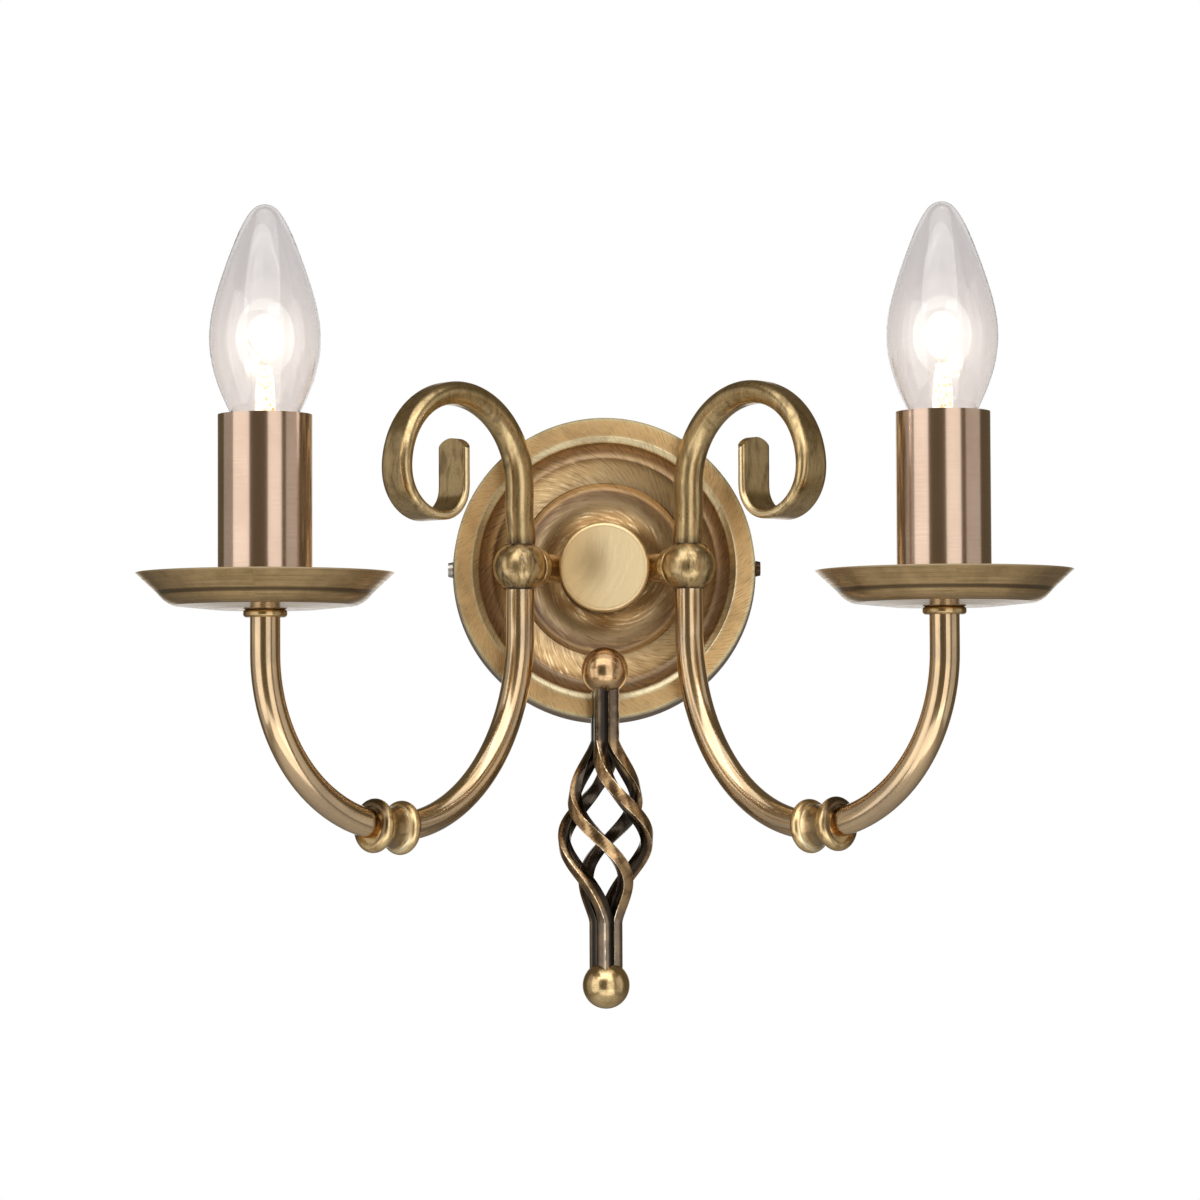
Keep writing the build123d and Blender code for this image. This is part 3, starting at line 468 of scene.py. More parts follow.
def bobbinFinish():
    # bobbins: painted highlights on the rolled flanges, painted shade in the waist and in the recesses at the
    # ends
    paint = Paint("bobbinBrass")
    run = alongArm(paint)[0]
    off = abs(run - bobbinSet["middle"])
    rings = paint.cloud(paint.joined(run * bobbinSet["ringPitch"], 0.0, 0.0), *bobbinSet["ringCloud"])
    mottle = paint.cloud(paint.place(), *bobbinSet["mottleCloud"])
    tone = paint.layers(
        paint.blend(mottle.ease(*bobbinSet["mottleEdge"]), bobbinSet["light"], bobbinSet["dark"]),
        (rings.ease(*bobbinSet["ringEdge"]), bobbinSet["ring"]),
        # painted shade in the waist, painted highlight on the flanges, painted shade in the end recesses
        (off.ease(*bobbinSet["waistEdge"]), bobbinSet["waistShade"]),
        (off.ease(*bobbinSet["flangeRise"]) * off.ease(*bobbinSet["flangeFall"]), bobbinSet["flange"]),
        (off.ease(*bobbinSet["endEdge"]), bobbinSet["end"]),
    )
    rough = bobbinSet["rough"] + mottle * bobbinSet["mottleRough"]
    return metal(paint, tone, rough, rings, **bobbinSet["cover"])


mottleSet = {
    "patchStretch": (1, 1, 0.4),
    "patchCloud": (5.0, 0.62, 1.0),  # without its scale
    "fineStretch": (1, 1, 0.2),
    "fineCloud": (1.0, 4.0, 0.64),
    "fineShare": 0.4,
    "stops": (0.34, 0.44, 0.58, 0.72),
    "fleckCloud": (1.2, 3.0, 0.7),
    "fleckEdge": (0.64, 0.72, 0.0, 0.45),
    # pale flecks, partly rubbed metal and partly painted glints
    "fleck": (0.80, 0.70, 0.52),
}


def mottling(paint, light, mid, dark, patch):
    # olive and brown patches drawn out a little upright, with pale flecks, partly rubbed metal and partly
    # painted glints
    mottle = paint.cloud(paint.place(stretch=mottleSet["patchStretch"]), patch, *mottleSet["patchCloud"])
    fine = paint.cloud(paint.place(stretch=mottleSet["fineStretch"]), *mottleSet["fineCloud"])
    value = mottle + (fine - 0.5) * mottleSet["fineShare"]
    tone = paint.ramp(value, tuple(zip(mottleSet["stops"], (dark, mid, light, mid))))
    flecks = paint.cloud(paint.place(), *mottleSet["fleckCloud"]).ease(*mottleSet["fleckEdge"])
    return paint.blend(flecks, tone, mottleSet["fleck"]), mottle, fine


ballSet = {
    "x": 28.28,
    "y": -41.98,
    "tones": ((0.60, 0.44, 0.22), (0.36, 0.25, 0.11), (0.14, 0.095, 0.045)),
    "patch": 0.26,
    "jointRag": 1.2,
    "jointEdge": (5.0, 6.3, 0.85, 0.0),
    "poleEdge": (6.0, 6.8),
    # dirt and painted shade in the joints
    "jointDirtAndShade": (0.045, 0.033, 0.02),
    "rough": 0.31,
    "mottleRough": (0.3, 0.7, 0.08, -0.03),
    "cover": {"depth": 0.004, "coat": 0.3, "coatRough": 0.12, "coatIor": 1.7},
}


def ballFinish():
    # arm balls: mottled, with dirt and painted shade in the joints where the tubes go in
    paint = Paint("ballBrass")
    tone, mottle, fine = mottling(paint, *ballSet["tones"], ballSet["patch"])
    x, y, z = paint.apart(paint.place())
    ring = distance(abs(x) - ballSet["x"], y - ballSet["y"])
    joint = (ring + (fine - 0.5) * ballSet["jointRag"]).ease(*ballSet["jointEdge"])
    # dirt and painted shade where the tubes go into the ball
    tone = paint.blend(joint * abs(z).ease(*ballSet["poleEdge"]), tone, ballSet["jointDirtAndShade"])
    rough = ballSet["rough"] + mottle.ease(*ballSet["mottleRough"])
    return metal(paint, tone, rough, fine, **ballSet["cover"])


scrollSet = {
    "stripHalf": 6.8,  # half the width of the pressed strip
    "tones": ((0.64, 0.47, 0.235), (0.47, 0.34, 0.16), (0.30, 0.21, 0.10)),
    "patch": 0.17,
    # pale strip edges, partly wear and partly painted highlight
    "wearAndHighlightRag": 0.5,
    "wearAndHighlightEdge": (-0.45, -0.1, 0.0, 0.9),
    "edgeWearAndHighlight": (1.0, 0.82, 0.50),
    # dirt and painted shade low down where the scroll meets the ball
    "jointRag": 3,
    "jointEdge": (7.3, 11.0, 0.75, 0.0),
    "jointDirtAndShade": (0.07, 0.05, 0.03),
    "rough": 0.29,
    "mottleRough": (0.3, 0.7, 0.07, -0.03),
    "cover": {"depth": 0.003, "coat": 0.3, "coatRough": 0.12, "coatIor": 1.7},
}


def scrollFinish():
    # scrolls: mottled tube, pressed strip with pale edges that are partly wear and partly painted highlight,
    # and dirt with painted shade low down where the scroll meets the ball
    paint = Paint("scrollBrass")
    tone, mottle, fine = mottling(paint, *scrollSet["tones"], scrollSet["patch"])
    x, y, z = paint.apart(paint.place())
    off = abs(besideArm(x, y)) - scrollSet["stripHalf"]
    tone = paint.layers(
        tone,
        # pale edges partly worn and partly painted highlight, then dirt and painted shade low down
        ((off + (fine - 0.5) * scrollSet["wearAndHighlightRag"]).ease(*scrollSet["wearAndHighlightEdge"]), scrollSet["edgeWearAndHighlight"]),
        ((z + (fine - 0.5) * scrollSet["jointRag"]).ease(*scrollSet["jointEdge"]), scrollSet["jointDirtAndShade"]),
    )
    rough = scrollSet["rough"] + mottle.ease(*scrollSet["mottleRough"])
    return metal(paint, tone, rough, fine, **scrollSet["cover"])


panSet = {
    "pitch": (1.6, 0.8, 2.6),
    "ringCloud": (1.0, 5.0, 0.68),
    "mottleCloud": (0.1, 4.0, 0.6),
    "mottleEdge": (0.34, 0.72),
    "light": (0.70, 0.485, 0.24),
    "dark": (0.47, 0.315, 0.145),
    # painted shade in the well and the groove, painted highlight on the rim
    "wellEdge": (28.0, 33.6, 0.6, 0.1),
    "wellShade": (0.28, 0.19, 0.095),
    "darkRing": (0.5, 0.68, 0.0, 0.55),
    "ring": (0.20, 0.13, 0.055),
    "paleRing": (0.32, 0.46, 0.3, 0.0),
    "pale": (1.0, 0.82, 0.50),
    "grooveRise": (32.9, 33.4),
    "grooveFall": (34.0, 34.6, 1.0, 0.0),
    "grooveShare": 0.85,
    "grooveShade": (0.10, 0.065, 0.03),
    "rimEdge": (39.7, 40.3),
    "rim": (0.90, 0.72, 0.45),
    "rough": 0.25,
    "ringRough": (0.3, 0.7, -0.04, 0.08),
    "cover": {"depth": 0.006, "coat": 0.25, "coatRough": 0.12},
}


def panFinish():
    # drip pans: satin brass turned round the candle, with painted shade in the well and the groove and a
    # painted highlight on the rim
    paint = Paint("panBrass")
    radius, angle, z = roundCandle(paint)
    outward, around, upward = panSet["pitch"]
    rings = paint.cloud(paint.joined(radius * outward, angle * around, z * upward), *panSet["ringCloud"])
    mottle = paint.cloud(paint.place(), *panSet["mottleCloud"])
    grooveShade = radius.ease(*panSet["grooveRise"]) * radius.ease(*panSet["grooveFall"])
    tone = paint.layers(
        paint.blend(mottle.ease(*panSet["mottleEdge"]), panSet["light"], panSet["dark"]),
        # painted shade in the well
        (radius.ease(*panSet["wellEdge"]), panSet["wellShade"]),
        (rings.ease(*panSet["darkRing"]), panSet["ring"]),
        (rings.ease(*panSet["paleRing"]), panSet["pale"]),
        # painted shade in the groove, then a painted highlight on the rim
        (grooveShade * panSet["grooveShare"], panSet["grooveShade"]),
        (radius.ease(*panSet["rimEdge"]), panSet["rim"]),
    )
    rough = panSet["rough"] + rings.ease(*panSet["ringRough"])
    return metal(paint, tone, rough, rings, **panSet["cover"])


sleeveSet = {
    "pitch": (0.35, 4.5),
    "hairCloud": (1.0, 5.0, 0.75),
    "smearStretch": (1, 1, 0.5),
    "smearCloud": (0.06, 3.0, 0.6),
    "smearEdge": (0.4, 0.64),
    "light": (0.60, 0.41, 0.29),
    "dark": (0.54, 0.36, 0.245),
    "darkHair": (0.5, 0.68, 0.0, 0.35),
    "hair": (0.42, 0.27, 0.17),
    "paleHair": (0.32, 0.46, 0.3, 0.0),
    "pale": (1.0, 0.84, 0.72),
    "rough": 0.17,
    "hairRough": (0.3, 0.7, -0.02, 0.05),
    "cover": {"depth": 0.002, "coat": 0.8, "coatRough": 0.1, "coatIor": 2.3},
}


def sleeveFinish():
    # candle sleeves: pinkish copper plate with hairlines round the tube
    paint = Paint("sleeveCopper")
    _, angle, z = roundCandle(paint)
    around, upward = sleeveSet["pitch"]
    hairs = paint.cloud(paint.joined(angle * around, z * upward, 0.0), *sleeveSet["hairCloud"])
    smear = paint.cloud(paint.place(stretch=sleeveSet["smearStretch"]), *sleeveSet["smearCloud"])
    tone = paint.layers(
        paint.blend(smear.ease(*sleeveSet["smearEdge"]), sleeveSet["light"], sleeveSet["dark"]),
        (hairs.ease(*sleeveSet["darkHair"]), sleeveSet["hair"]),
        (hairs.ease(*sleeveSet["paleHair"]), sleeveSet["pale"]),
    )
    rough = sleeveSet["rough"] + hairs.ease(*sleeveSet["hairRough"])
    return metal(paint, tone, rough, hairs, **sleeveSet["cover"])


steelSet = {
    "cloud": (1.2, 3.0, 0.6),
    "markEdge": (0.3, 0.7, 0.0, 0.35),
    "darker": 0.6,
    "markRough": (0.3, 0.7, -0.04, 0.08),
    "bump": (0.3, 0.00003),
    "bright": (0.62, 0.61, 0.58),
    "browned": (0.10, 0.055, 0.03),
    "grime": (0.05, 0.04, 0.03),
    "grimeEdge": (0.3, 0.7, 0.0, 0.4),
    "screwRough": 0.34,
}


def steelFinish(name, colour, rough):
    paint = Paint(name)
    marks = paint.cloud(paint.place(), *steelSet["cloud"])
    tone = paint.blend(marks.ease(*steelSet["markEdge"]), colour, shaded(colour, steelSet["darker"]))
    return paint.surface(
        Base_Color=tone, Metallic=1.0, Roughness=rough + marks.ease(*steelSet["markRough"]),
        Normal=paint.bump(marks, *steelSet["bump"]),
    )


def sideScrewFinish():
    # the left screw is bright steel, the right one browned
    paint = Paint("sideScrewMetal")
    x = paint.apart(paint.place())[0]
    marks = paint.cloud(paint.place(), *steelSet["cloud"])
    tone = paint.blend(x > 0, steelSet["bright"], steelSet["browned"])
    return paint.surface(
        Base_Color=paint.blend(marks.ease(*steelSet["grimeEdge"]), tone, steelSet["grime"]), Metallic=1.0,
        Roughness=steelSet["screwRough"] + marks.ease(*steelSet["markRough"]),
        Normal=paint.bump(marks, *steelSet["bump"]),
    )


plasticSet = {
    "cloud": (3.0, 3.0, 0.6),
    "grainEdge": (0.3, 0.7, 0.0),  # without its value at the end
    "darker": 0.7,
    "grainRough": (0.3, 0.7, -0.05, 0.05),
    "bump": (0.2, 0.00003),
}


def plasticFinish(name, colour, rough, fleck):
    paint = Paint(name)
    grain = paint.cloud(paint.place(), *plasticSet["cloud"])
    share = grain.ease(*plasticSet["grainEdge"], fleck)
    return paint.surface(
        Base_Color=paint.blend(share, colour, shaded(colour, plasticSet["darker"])),
        Roughness=rough + grain.ease(*plasticSet["grainRough"]),
        Normal=paint.bump(grain, *plasticSet["bump"]),
    )


leadSet = {
    "cloud": (0.9, 2.0, 0.6),
    "markEdge": (0.4, 0.6),
    "metal": (0.42, 0.38, 0.33),
    "rough": 0.4,
    "bright": (1.0, 0.90, 0.68),
    "amber": (0.85, 0.58, 0.22),
    "glow": 0.9,
}


def glowingLead():
    # the bulbs' wires, with a painted glow standing for the filament's light on them
    paint = Paint("leadWire")
    marks = paint.cloud(paint.place(), *leadSet["cloud"]).ease(*leadSet["markEdge"])
    return paint.surface(
        Base_Color=leadSet["metal"], Metallic=1.0, Roughness=leadSet["rough"],
        Emission_Color=paint.blend(marks, leadSet["bright"], leadSet["amber"]),
        Emission_Strength=leadSet["glow"],
    )


glassSet = {
    "cloud": (0.05, 3.0, 0.5),
    "tints": ((0.80, 0.77, 0.765), (0.76, 0.735, 0.73)),
    "shoulderEdge": (60, 96, 0.8, 0.0),
    "shoulder": (0.90, 0.85, 0.82),
    "ior": 1.45,
}


def clearGlass():
    paint = Paint("clearGlass")
    smear = paint.cloud(paint.place(), *glassSet["cloud"])
    height = paint.apart(paint.place())[2]
    tone = paint.blend(smear, *glassSet["tints"])
    return paint.surface(
        Base_Color=paint.blend(height.ease(*glassSet["shoulderEdge"]), tone, glassSet["shoulder"]),
        Roughness=0.0, IOR=glassSet["ior"], Transmission_Weight=1.0,
    )


stemSet = {
    "cloud": (0.9, 4.0, 0.75),
    "speckEdge": (0.48, 0.62),
    "tones": ((0.95, 0.93, 0.90), (0.70, 0.45, 0.14)),
    "rough": 0.1,
    "clear": 0.6,
    "lights": ((1.0, 0.94, 0.80), (0.42, 0.22, 0.04)),
    "glow": 0.85,
}


# the glass stem, with a painted glow and golden specks standing for the filament's light in it
def stemGlass():
    paint = Paint("stemGlass")
    specks = paint.cloud(paint.place(), *stemSet["cloud"]).ease(*stemSet["speckEdge"])
    return paint.surface(
        Base_Color=paint.blend(specks, *stemSet["tones"]), Roughness=stemSet["rough"], IOR=glassSet["ior"],
        Transmission_Weight=stemSet["clear"],
        Emission_Color=paint.blend(specks, *stemSet["lights"]), Emission_Strength=stemSet["glow"],
    )


filamentSet = {
    "cloud": (0.8, 1.0, 0.5),
    "metal": (0.3, 0.28, 0.25),
    "rough": 0.5,
    "lights": ((1.0, 0.93, 0.80), (1.0, 0.80, 0.52)),
    "glow": 60.0,
}


def litFilament():
    paint = Paint("litFilament")
    glow = paint.cloud(paint.place(), *filamentSet["cloud"])
    return paint.surface(
        Base_Color=filamentSet["metal"], Roughness=filamentSet["rough"], Metallic=1.0,
        Emission_Color=paint.blend(glow, *filamentSet["lights"]), Emission_Strength=filamentSet["glow"],
    )


brightBrass = plainBrass("brightBrass", (0.86, 0.64, 0.33), (0.50, 0.34, 0.16), 0.24)
# painted shade: a darker copy of the brass for the hub body, the neck and its collar
shadedHubBrass = plainBrass("shadedHubBrass", (0.60, 0.42, 0.20), (0.28, 0.17, 0.07), 0.28)
topBallBrass = plainBrass("topBallBrass", (0.64, 0.43, 0.23), (0.34, 0.20, 0.095), 0.19, depth=0.002)
collarBrass = plainBrass("collarBrass", (0.62, 0.44, 0.21), (0.32, 0.205, 0.09), 0.24, depth=0.002)
bottomBallBrass = plainBrass("bottomBallBrass", (0.76, 0.57, 0.30), (0.42, 0.285, 0.125), 0.2, depth=0.002)
platedSteel = steelFinish("platedSteel", (0.62, 0.61, 0.58), 0.32)
capMetal = steelFinish("capMetal", (0.74, 0.72, 0.68), 0.28)

# what each piece of the lamp wears; left and right share a finish
finishes = {
    "rose": roseFinish(),
    "wall_bracket": platedSteel,
    "rose_side_screws": sideScrewFinish(),
    "terminal_block": plasticFinish("blockWhite", (0.74, 0.73, 0.69), 0.42, 0.15),
    "terminal_screws": platedSteel,
    "earth_screw": brightBrass,
    "hub_body": shadedHubBrass,
    "hub_cap": knobFinish(),
    "hub_nipple": platedSteel,
    "hub_washer": platedSteel,
    "hub_lock_nut": platedSteel,
    "neck": shadedHubBrass,
    "neck_collar": shadedHubBrass,
    "arm_ball": ballFinish(),
    "lower_arm": armFinish(),
    "scroll": scrollFinish(),
    "bobbin": bobbinFinish(),
    "pan_collar": collarBrass,
    "drip_pan": panFinish(),
    "pan_nut": platedSteel,
    "candle_sleeve": sleeveFinish(),
    "lampholder": plasticFinish("glazedWhite", (0.80, 0.78, 0.73), 0.18, 0.12),
    "holder_shell": capMetal,
    "holder_contact": brightBrass,
    "inner_lead": plasticFinish("leadCover", (0.62, 0.57, 0.46), 0.38, 0.2),
    "bulb_cap": capMetal,
    "bulb_foot": plasticFinish("blackGlass", (0.015, 0.014, 0.016), 0.12, 0.2),
    "bulb_glass": clearGlass(),
    "bulb_stem": stemGlass(),
    "bulb_leads": glowingLead(),
    "bulb_filament": litFilament(),
    "drop_bars": shadedHubBrass,
    "drop_ball_top": topBallBrass,
    "drop_ball_bottom": bottomBallBrass,
    "drop_stud": brightBrass,
    "drop_nut": platedSteel,
}
for name, piece in nodes.items():
    kind = name.removesuffix("_left").removesuffix("_right")
    for slot in piece.material_slots:
        slot.material = finishes[kind]
print("finishes made and put on")


def finish(name, form, material, body="lamp", stands=(), sharp=30):
    # turns a bmesh into a piece that rides on its body and stands for CAD nodes
    bmesh.ops.recalc_face_normals(form, faces=form.faces)
    for face in form.faces:
        face.smooth = True
    mesh = bpy.data.meshes.new(name)
    form.to_mesh(mesh)
    form.free()
    if sharp:
        mesh.set_sharp_from_angle(angle=radians(sharp))
    piece = bpy.data.objects.new(name, mesh)
    scene.collection.objects.link(piece)
    mesh.materials.append(material)
    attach(piece, body)
    if stands:
        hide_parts(*stands)
    return piece


def drawAlong(form, faces, stations):
    # pulls a flat group of faces through a row of placings, each a matrix
    last = Matrix.Identity(4)
    for number, placing in enumerate(stations):
        if number:
            pulled = bmesh.ops.extrude_face_region(form, geom=faces)["geom"]
            faces = [part for part in pulled if isinstance(part, bmesh.types.BMFace)]
        corners = list({corner for face in faces for corner in face.verts})
        bmesh.ops.transform(form, matrix=placing @ last.inverted(), verts=corners)
        last = placing


def placing(centre, across, heading):
    # a matrix whose x points across and whose z points along the way
    heading = heading.normalized()
    across = (across - heading * across.dot(heading)).normalized()
    turn = Matrix((across, heading.cross(across), heading)).transposed().to_4x4()
    return Matrix.Translation(centre) @ turn


dropSet = {
    "depth": 0.042,
    "topHeight": 0.0348,
    "spacing": 0.1047,
    "ballRadius": 0.00785,
    "bar": 0.0040,
    "gap": 0.00006,
    "sink": 0.0034,
    "straightTop": 0.0156,
    "straightBottom": 0.0131,
    "basketRadius": 0.014,
    "fullness": 1.4,
    "starts": (45, 135, 225, 315),
    "turn": 13.0,
    "twist": 210.0,
    "ease": 0.2,
    "steps": 84,
    "edgeRound": 0.00045,
    "cornerShare": 0.9,  # a point this far out both ways is a corner of the square
    "probe": 0.00005,  # how far up and down the bar's heading is read
}


def barPlace(start, z, top, bottom):
    # a bar's centre and its outward direction at a height
    share = min(1.0, max(0.0, (top - z) / (top - bottom)))
    swell = sin(pi * share) ** dropSet["fullness"]
    bundle = (dropSet["bar"] + dropSet["gap"]) / 2 * 2 ** 0.5
    radius = bundle + (dropSet["basketRadius"] - bundle) * swell
    turned = dropSet["twist"] * (share - dropSet["ease"] * sin(tau * share) / tau)
    bearing = radians(start + dropSet["turn"] + turned)
    face = bearing - radians(45) * (1 - swell)  # corner to corner in the bundle, flat side out in the basket
    centre = Vector((radius * cos(bearing), radius * sin(bearing) - dropSet["depth"], z))
    return centre, Vector((cos(face), sin(face), 0))


bronzeSet = {
    "cloud": (0.22, 4.0, 0.6),
    "hairStretch": (1.6, 1.6, 0.35),
    "hairCloud": (1.0, 3.0, 0.6),
    "cloudEdge": (0.38, 0.62),
    "golden": (0.52, 0.34, 0.17),
    "brown": (0.22, 0.13, 0.06),
    # painted shade near black at the top, a greyer painted reflection at the bottom, painted shade near black
    # inside
    "topEdge": (-64, -56, 0.0, 0.75),
    "top": (0.06, 0.048, 0.04),
    "bottomEdge": (-118, -112, 0.6, 0.0),
    "bottom": (0.42, 0.36, 0.31),
    "insideRag": 0.3,
    "insideEdge": (0.0, 0.5, 0.93, 0.0),
    "inside": (0.018, 0.015, 0.013),
    # pale edges, partly wear and partly painted highlight
    "wearAndHighlightRag": 0.5,
    "wearAndHighlightEdge": (0.80, 0.95, 0.0, 0.95),
    "wearAndHighlightSide": (-0.6, 0.3),
    "edgeWearAndHighlight": (1.0, 0.85, 0.62),
    "rough": 0.19,
    "cloudRough": 0.1,
    "wearAndHighlightRough": 0.04,
    "coat": 0.3,
    "coatRough": 0.15,
    "bump": (0.3, 0.00004),
}


def barBronzeFinish():
    # golden outside, with painted shade near black inside and at the top, a greyer painted reflection at the
    # bottom, and pale edges that are partly wear and partly painted highlight
    paint = Paint("barBronze")
    outward = paint.node("Attribute", {"attribute_name": "outward"}, out="Fac")
    edge = paint.node("Attribute", {"attribute_name": "edge"}, out="Fac")
    cloudy = paint.cloud(paint.place(), *bronzeSet["cloud"])
    hair = paint.cloud(paint.place(stretch=bronzeSet["hairStretch"]), *bronzeSet["hairCloud"])
    height = paint.apart(paint.place())[2]
    inside = (outward + (hair - 0.5) * bronzeSet["insideRag"]).ease(*bronzeSet["insideEdge"])
    edgeWearAndHighlight = (edge + (hair - 0.5) * bronzeSet["wearAndHighlightRag"]).ease(*bronzeSet["wearAndHighlightEdge"])
    edgeWearAndHighlight = edgeWearAndHighlight * outward.ease(*bronzeSet["wearAndHighlightSide"])
    tone = paint.layers(
        paint.blend(cloudy.ease(*bronzeSet["cloudEdge"]), bronzeSet["golden"], bronzeSet["brown"]),
        # painted shade at the top, painted reflection at the bottom, painted shade inside, pale edges partly
        # worn and partly painted highlight
        (height.ease(*bronzeSet["topEdge"]), bronzeSet["top"]),
        (height.ease(*bronzeSet["bottomEdge"]), bronzeSet["bottom"]),
        (inside, bronzeSet["inside"]),
        (edgeWearAndHighlight, bronzeSet["edgeWearAndHighlight"]),
    )
    return paint.surface(
        Base_Color=tone, Metallic=1.0,
        Roughness=bronzeSet["rough"] + cloudy * bronzeSet["cloudRough"] - edgeWearAndHighlight * bronzeSet["wearAndHighlightRough"],
        Coat_Weight=bronzeSet["coat"], Coat_Roughness=bronzeSet["coatRough"],
        Normal=paint.bump(hair, *bronzeSet["bump"]),
    )


def makeDropBars():
    # four square bars with rounded edges, swollen into a basket as they twist
    half = dropSet["bar"] / 2
    under = -dropSet["topHeight"] - dropSet["ballRadius"]
    over = -dropSet["topHeight"] - dropSet["spacing"] + dropSet["ballRadius"]
    top = under - dropSet["straightTop"]
    bottom = over + dropSet["straightBottom"]
    steps = dropSet["steps"]
    heights = [under + dropSet["sink"]]
    heights += [top + (bottom - top) * i / steps for i in range(steps + 1)]
    heights += [over - dropSet["sink"]]
    form = bmesh.new()
    outward = form.verts.layers.float.new("outward")
    edge = form.verts.layers.float.new("edge")
    for start in dropSet["starts"]:
        square = bmesh.ops.create_grid(form, x_segments=2, y_segments=2, size=half)["verts"]
        corners = [v for v in square if min(abs(v.co.x), abs(v.co.y)) > half * dropSet["cornerShare"]]
        rounded = bmesh.ops.bevel(
            form, geom=corners, affect="VERTICES", offset=dropSet["edgeRound"],
            segments=2, profile=0.5, material=-1,
        )["verts"]
        profile = [v for v in set(square) | set(rounded) if v.is_valid]
        for v in profile:
            v[outward] = v.co.x / half
            v[edge] = min(abs(v.co.x), abs(v.co.y)) / half
        faces = list({f for v in profile for f in v.link_faces})
        stations = []
        for z in heights:
            centre, across = barPlace(start, z, top, bottom)
            lower = barPlace(start, z - dropSet["probe"], top, bottom)[0]
            upper = barPlace(start, z + dropSet["probe"], top, bottom)[0]
            stations.append(placing(centre, across, lower - upper))
        drawAlong(form, faces, stations)
    return finish("twistedBars", form, barBronzeFinish(), stands=("drop_bars",))


makeDropBars()
print("drop bars drawn")

glowSet = {
    "shells": ((0.0125, 0.0190), (0.0092, 0.0125), (0.0058, 0.0075)),  # radius and half height of each
    "fade": (3.5, 15.0, 0.42, 0.025),
    "sparkCloud": (1.4, 2.0, 0.6),
    "sparkEdge": (0.62, 0.7),
    "sparkShare": 0.1,
    "white": (1.0, 0.985, 0.95),
    "golden": (1.0, 0.86, 0.60),
    "glow": 1.65,
}


def makeGlow(side):
    # the haze of light round a filament, as nested thin shells inside the glass
    low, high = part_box(f"bulb_filament_{side}")
    middle = (Vector(low) + Vector(high)) / 2
    paint = Paint(f"filamentHaze_{side}")
    fromMiddle = paint.place(move=tuple(middle * 1000))
    off = paint.node("VectorMath", {"operation": "LENGTH"}, {0: fromMiddle}, out="Value")
    sparks = paint.cloud(paint.place(), *glowSet["sparkCloud"]).ease(*glowSet["sparkEdge"])
    haze = paint.surface(
        Base_Color=(0.0, 0.0, 0.0), Roughness=1.0, Specular_IOR_Level=0.0,
        Alpha=off.ease(*glowSet["fade"]) + sparks * glowSet["sparkShare"],
        Emission_Color=paint.blend(sparks, glowSet["white"], glowSet["golden"]),
        Emission_Strength=glowSet["glow"],
    )
    form = bmesh.new()
    for wide, tall in glowSet["shells"]:
        ball = bmesh.ops.create_uvsphere(form, u_segments=48, v_segments=24, radius=1.0)["verts"]
        bmesh.ops.scale(form, vec=(wide, wide, tall), verts=ball)
        bmesh.ops.translate(form, vec=middle, verts=ball)
    return finish(f"filamentHaze_{side}", form, haze, body=f"bulb_{side}", sharp=0)


for side in sides:
    makeGlow(side)
print("filament haze made")

studio = {
    "cameraPlace": (-0.0015, -1.25, -0.0597),
    "pitch": 2.3,
    "roll": 0.25,
    "lens": 108.48,
    "sensor": 36.0,
    "aim": (0, -0.07, 0),
    "floorZ": -1.0,
    "floorHalf": 3.0,
    "floorTone": (0.8, 0.8, 0.8),
    "floorRough": 0.8,
    "floorGlow": 0.75,
    "roomLight": 0.13,
    "roomTint": (1.0, 0.82, 0.54),
    "backdrop": 1.0,
    "backdropEdge": (0.9, 0.985),
    # name, bearing, height, distance, width, how tall, and strength of each soft box
    "boxes": (
        ("leftBox", -54, 0.0, 1.2, 0.88, 1.5, 1.3),
        ("farLeftBox", -91, 0.0, 1.2, 0.64, 1.5, 0.33),
        ("rightBox", 22, 0.0, 1.25, 0.72, 1.5, 1.2),
        ("farRightBox", 69, 0.0, 1.2, 0.86, 1.5, 0.5),
        ("topBox", 0, 1.15, 0.45, 1.6, 0.8, 1.2),
        ("frontTopBox", -6, 0.85, 0.95, 1.7, 0.7, 2.1),
        ("frontLowBox", 4, -0.75, 0.95, 1.5, 0.5, 1.2),
    ),
}


def softBox(name, bearing, height, away, width, tall, glow):
    # an area light at a bearing from the front, to the right if positive, as bright as a surface of that glow
    place = Vector((sin(radians(bearing)) * away, -cos(radians(bearing)) * away, height))
    data = bpy.data.lights.new(name, "AREA")
    data.shape = "RECTANGLE"
    data.size = width
    data.size_y = tall
    data.energy = glow * pi * width * tall
    light = bpy.data.objects.new(name, data)
    light.location = place
    light.rotation_euler = (Vector(studio["aim"]) - place).to_track_quat("-Z", "Y").to_euler()
    light.visible_camera = False
    scene.collection.objects.link(light)


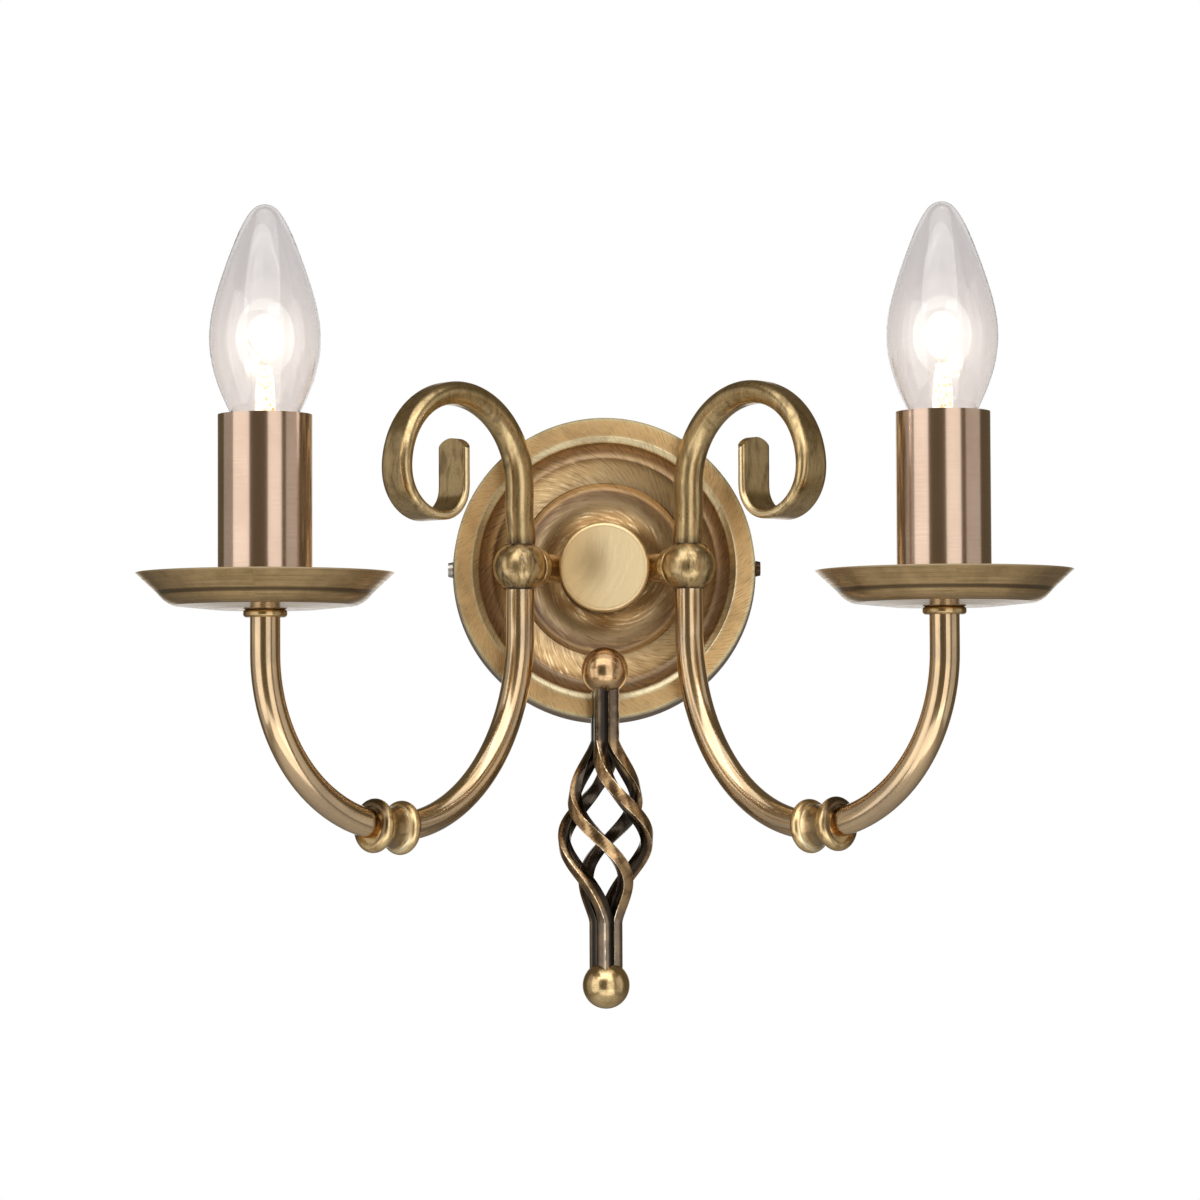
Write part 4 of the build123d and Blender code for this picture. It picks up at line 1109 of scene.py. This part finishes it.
def makeWorld():
    # a dim warm room, white where the camera looks and in reflections of what is behind the lamp
    world = bpy.data.worlds.new("studioWorld")
    world.use_nodes = True
    scene.world = world
    paint = Paint("world", world.node_tree)
    ray = paint.node("LightPath").socket.node.outputs
    camera, glossy, through = (
        Wire(paint, ray[name]) for name in ("Is Camera Ray", "Is Glossy Ray", "Is Transmission Ray")
    )
    way = paint.apart(paint.node("TexCoord", out="Generated"))
    behind = way[1].ease(*studio["backdropEdge"])
    seen = camera + through - camera * through
    white = seen + (1 - seen) * glossy * behind
    strength = white * studio["backdrop"] + (1 - white) * studio["roomLight"]
    colour = paint.blend(white, studio["roomTint"], (1.0, 1.0, 1.0))
    shader = paint.node("Background", None, {"Color": colour, "Strength": strength})
    paint.node("OutputWorld", None, {"Surface": shader})


def makeFloor():
    form = bmesh.new()
    bmesh.ops.create_grid(form, x_segments=1, y_segments=1, size=studio["floorHalf"])
    bmesh.ops.translate(form, verts=form.verts, vec=(0, 0, studio["floorZ"]))
    mesh = bpy.data.meshes.new("floor")
    form.to_mesh(mesh)
    form.free()
    floor = bpy.data.objects.new("floor", mesh)
    scene.collection.objects.link(floor)
    cover = Paint("floorWhite")
    seen = Wire(cover, cover.node("LightPath").socket.node.outputs["Is Camera Ray"])
    mesh.materials.append(cover.surface(
        Base_Color=studio["floorTone"], Roughness=studio["floorRough"],
        Emission_Color=(1, 1, 1), Emission_Strength=seen * studio["floorGlow"],
    ))


def makeCamera():
    data = bpy.data.cameras.new("camera")
    data.sensor_width = studio["sensor"]
    data.lens = studio["lens"]
    camera = bpy.data.objects.new("camera", data)
    tip = Matrix.Rotation(radians(90 + studio["pitch"]), 4, "X")
    roll = Matrix.Rotation(-radians(studio["roll"]), 4, "Z")
    camera.matrix_world = Matrix.Translation(studio["cameraPlace"]) @ (tip @ roll)
    scene.collection.objects.link(camera)
    scene.camera = camera


makeWorld()
for row in studio["boxes"]:
    softBox(*row)
makeFloor()
makeCamera()
scene.view_settings.view_transform = "Standard"
print("studio made")
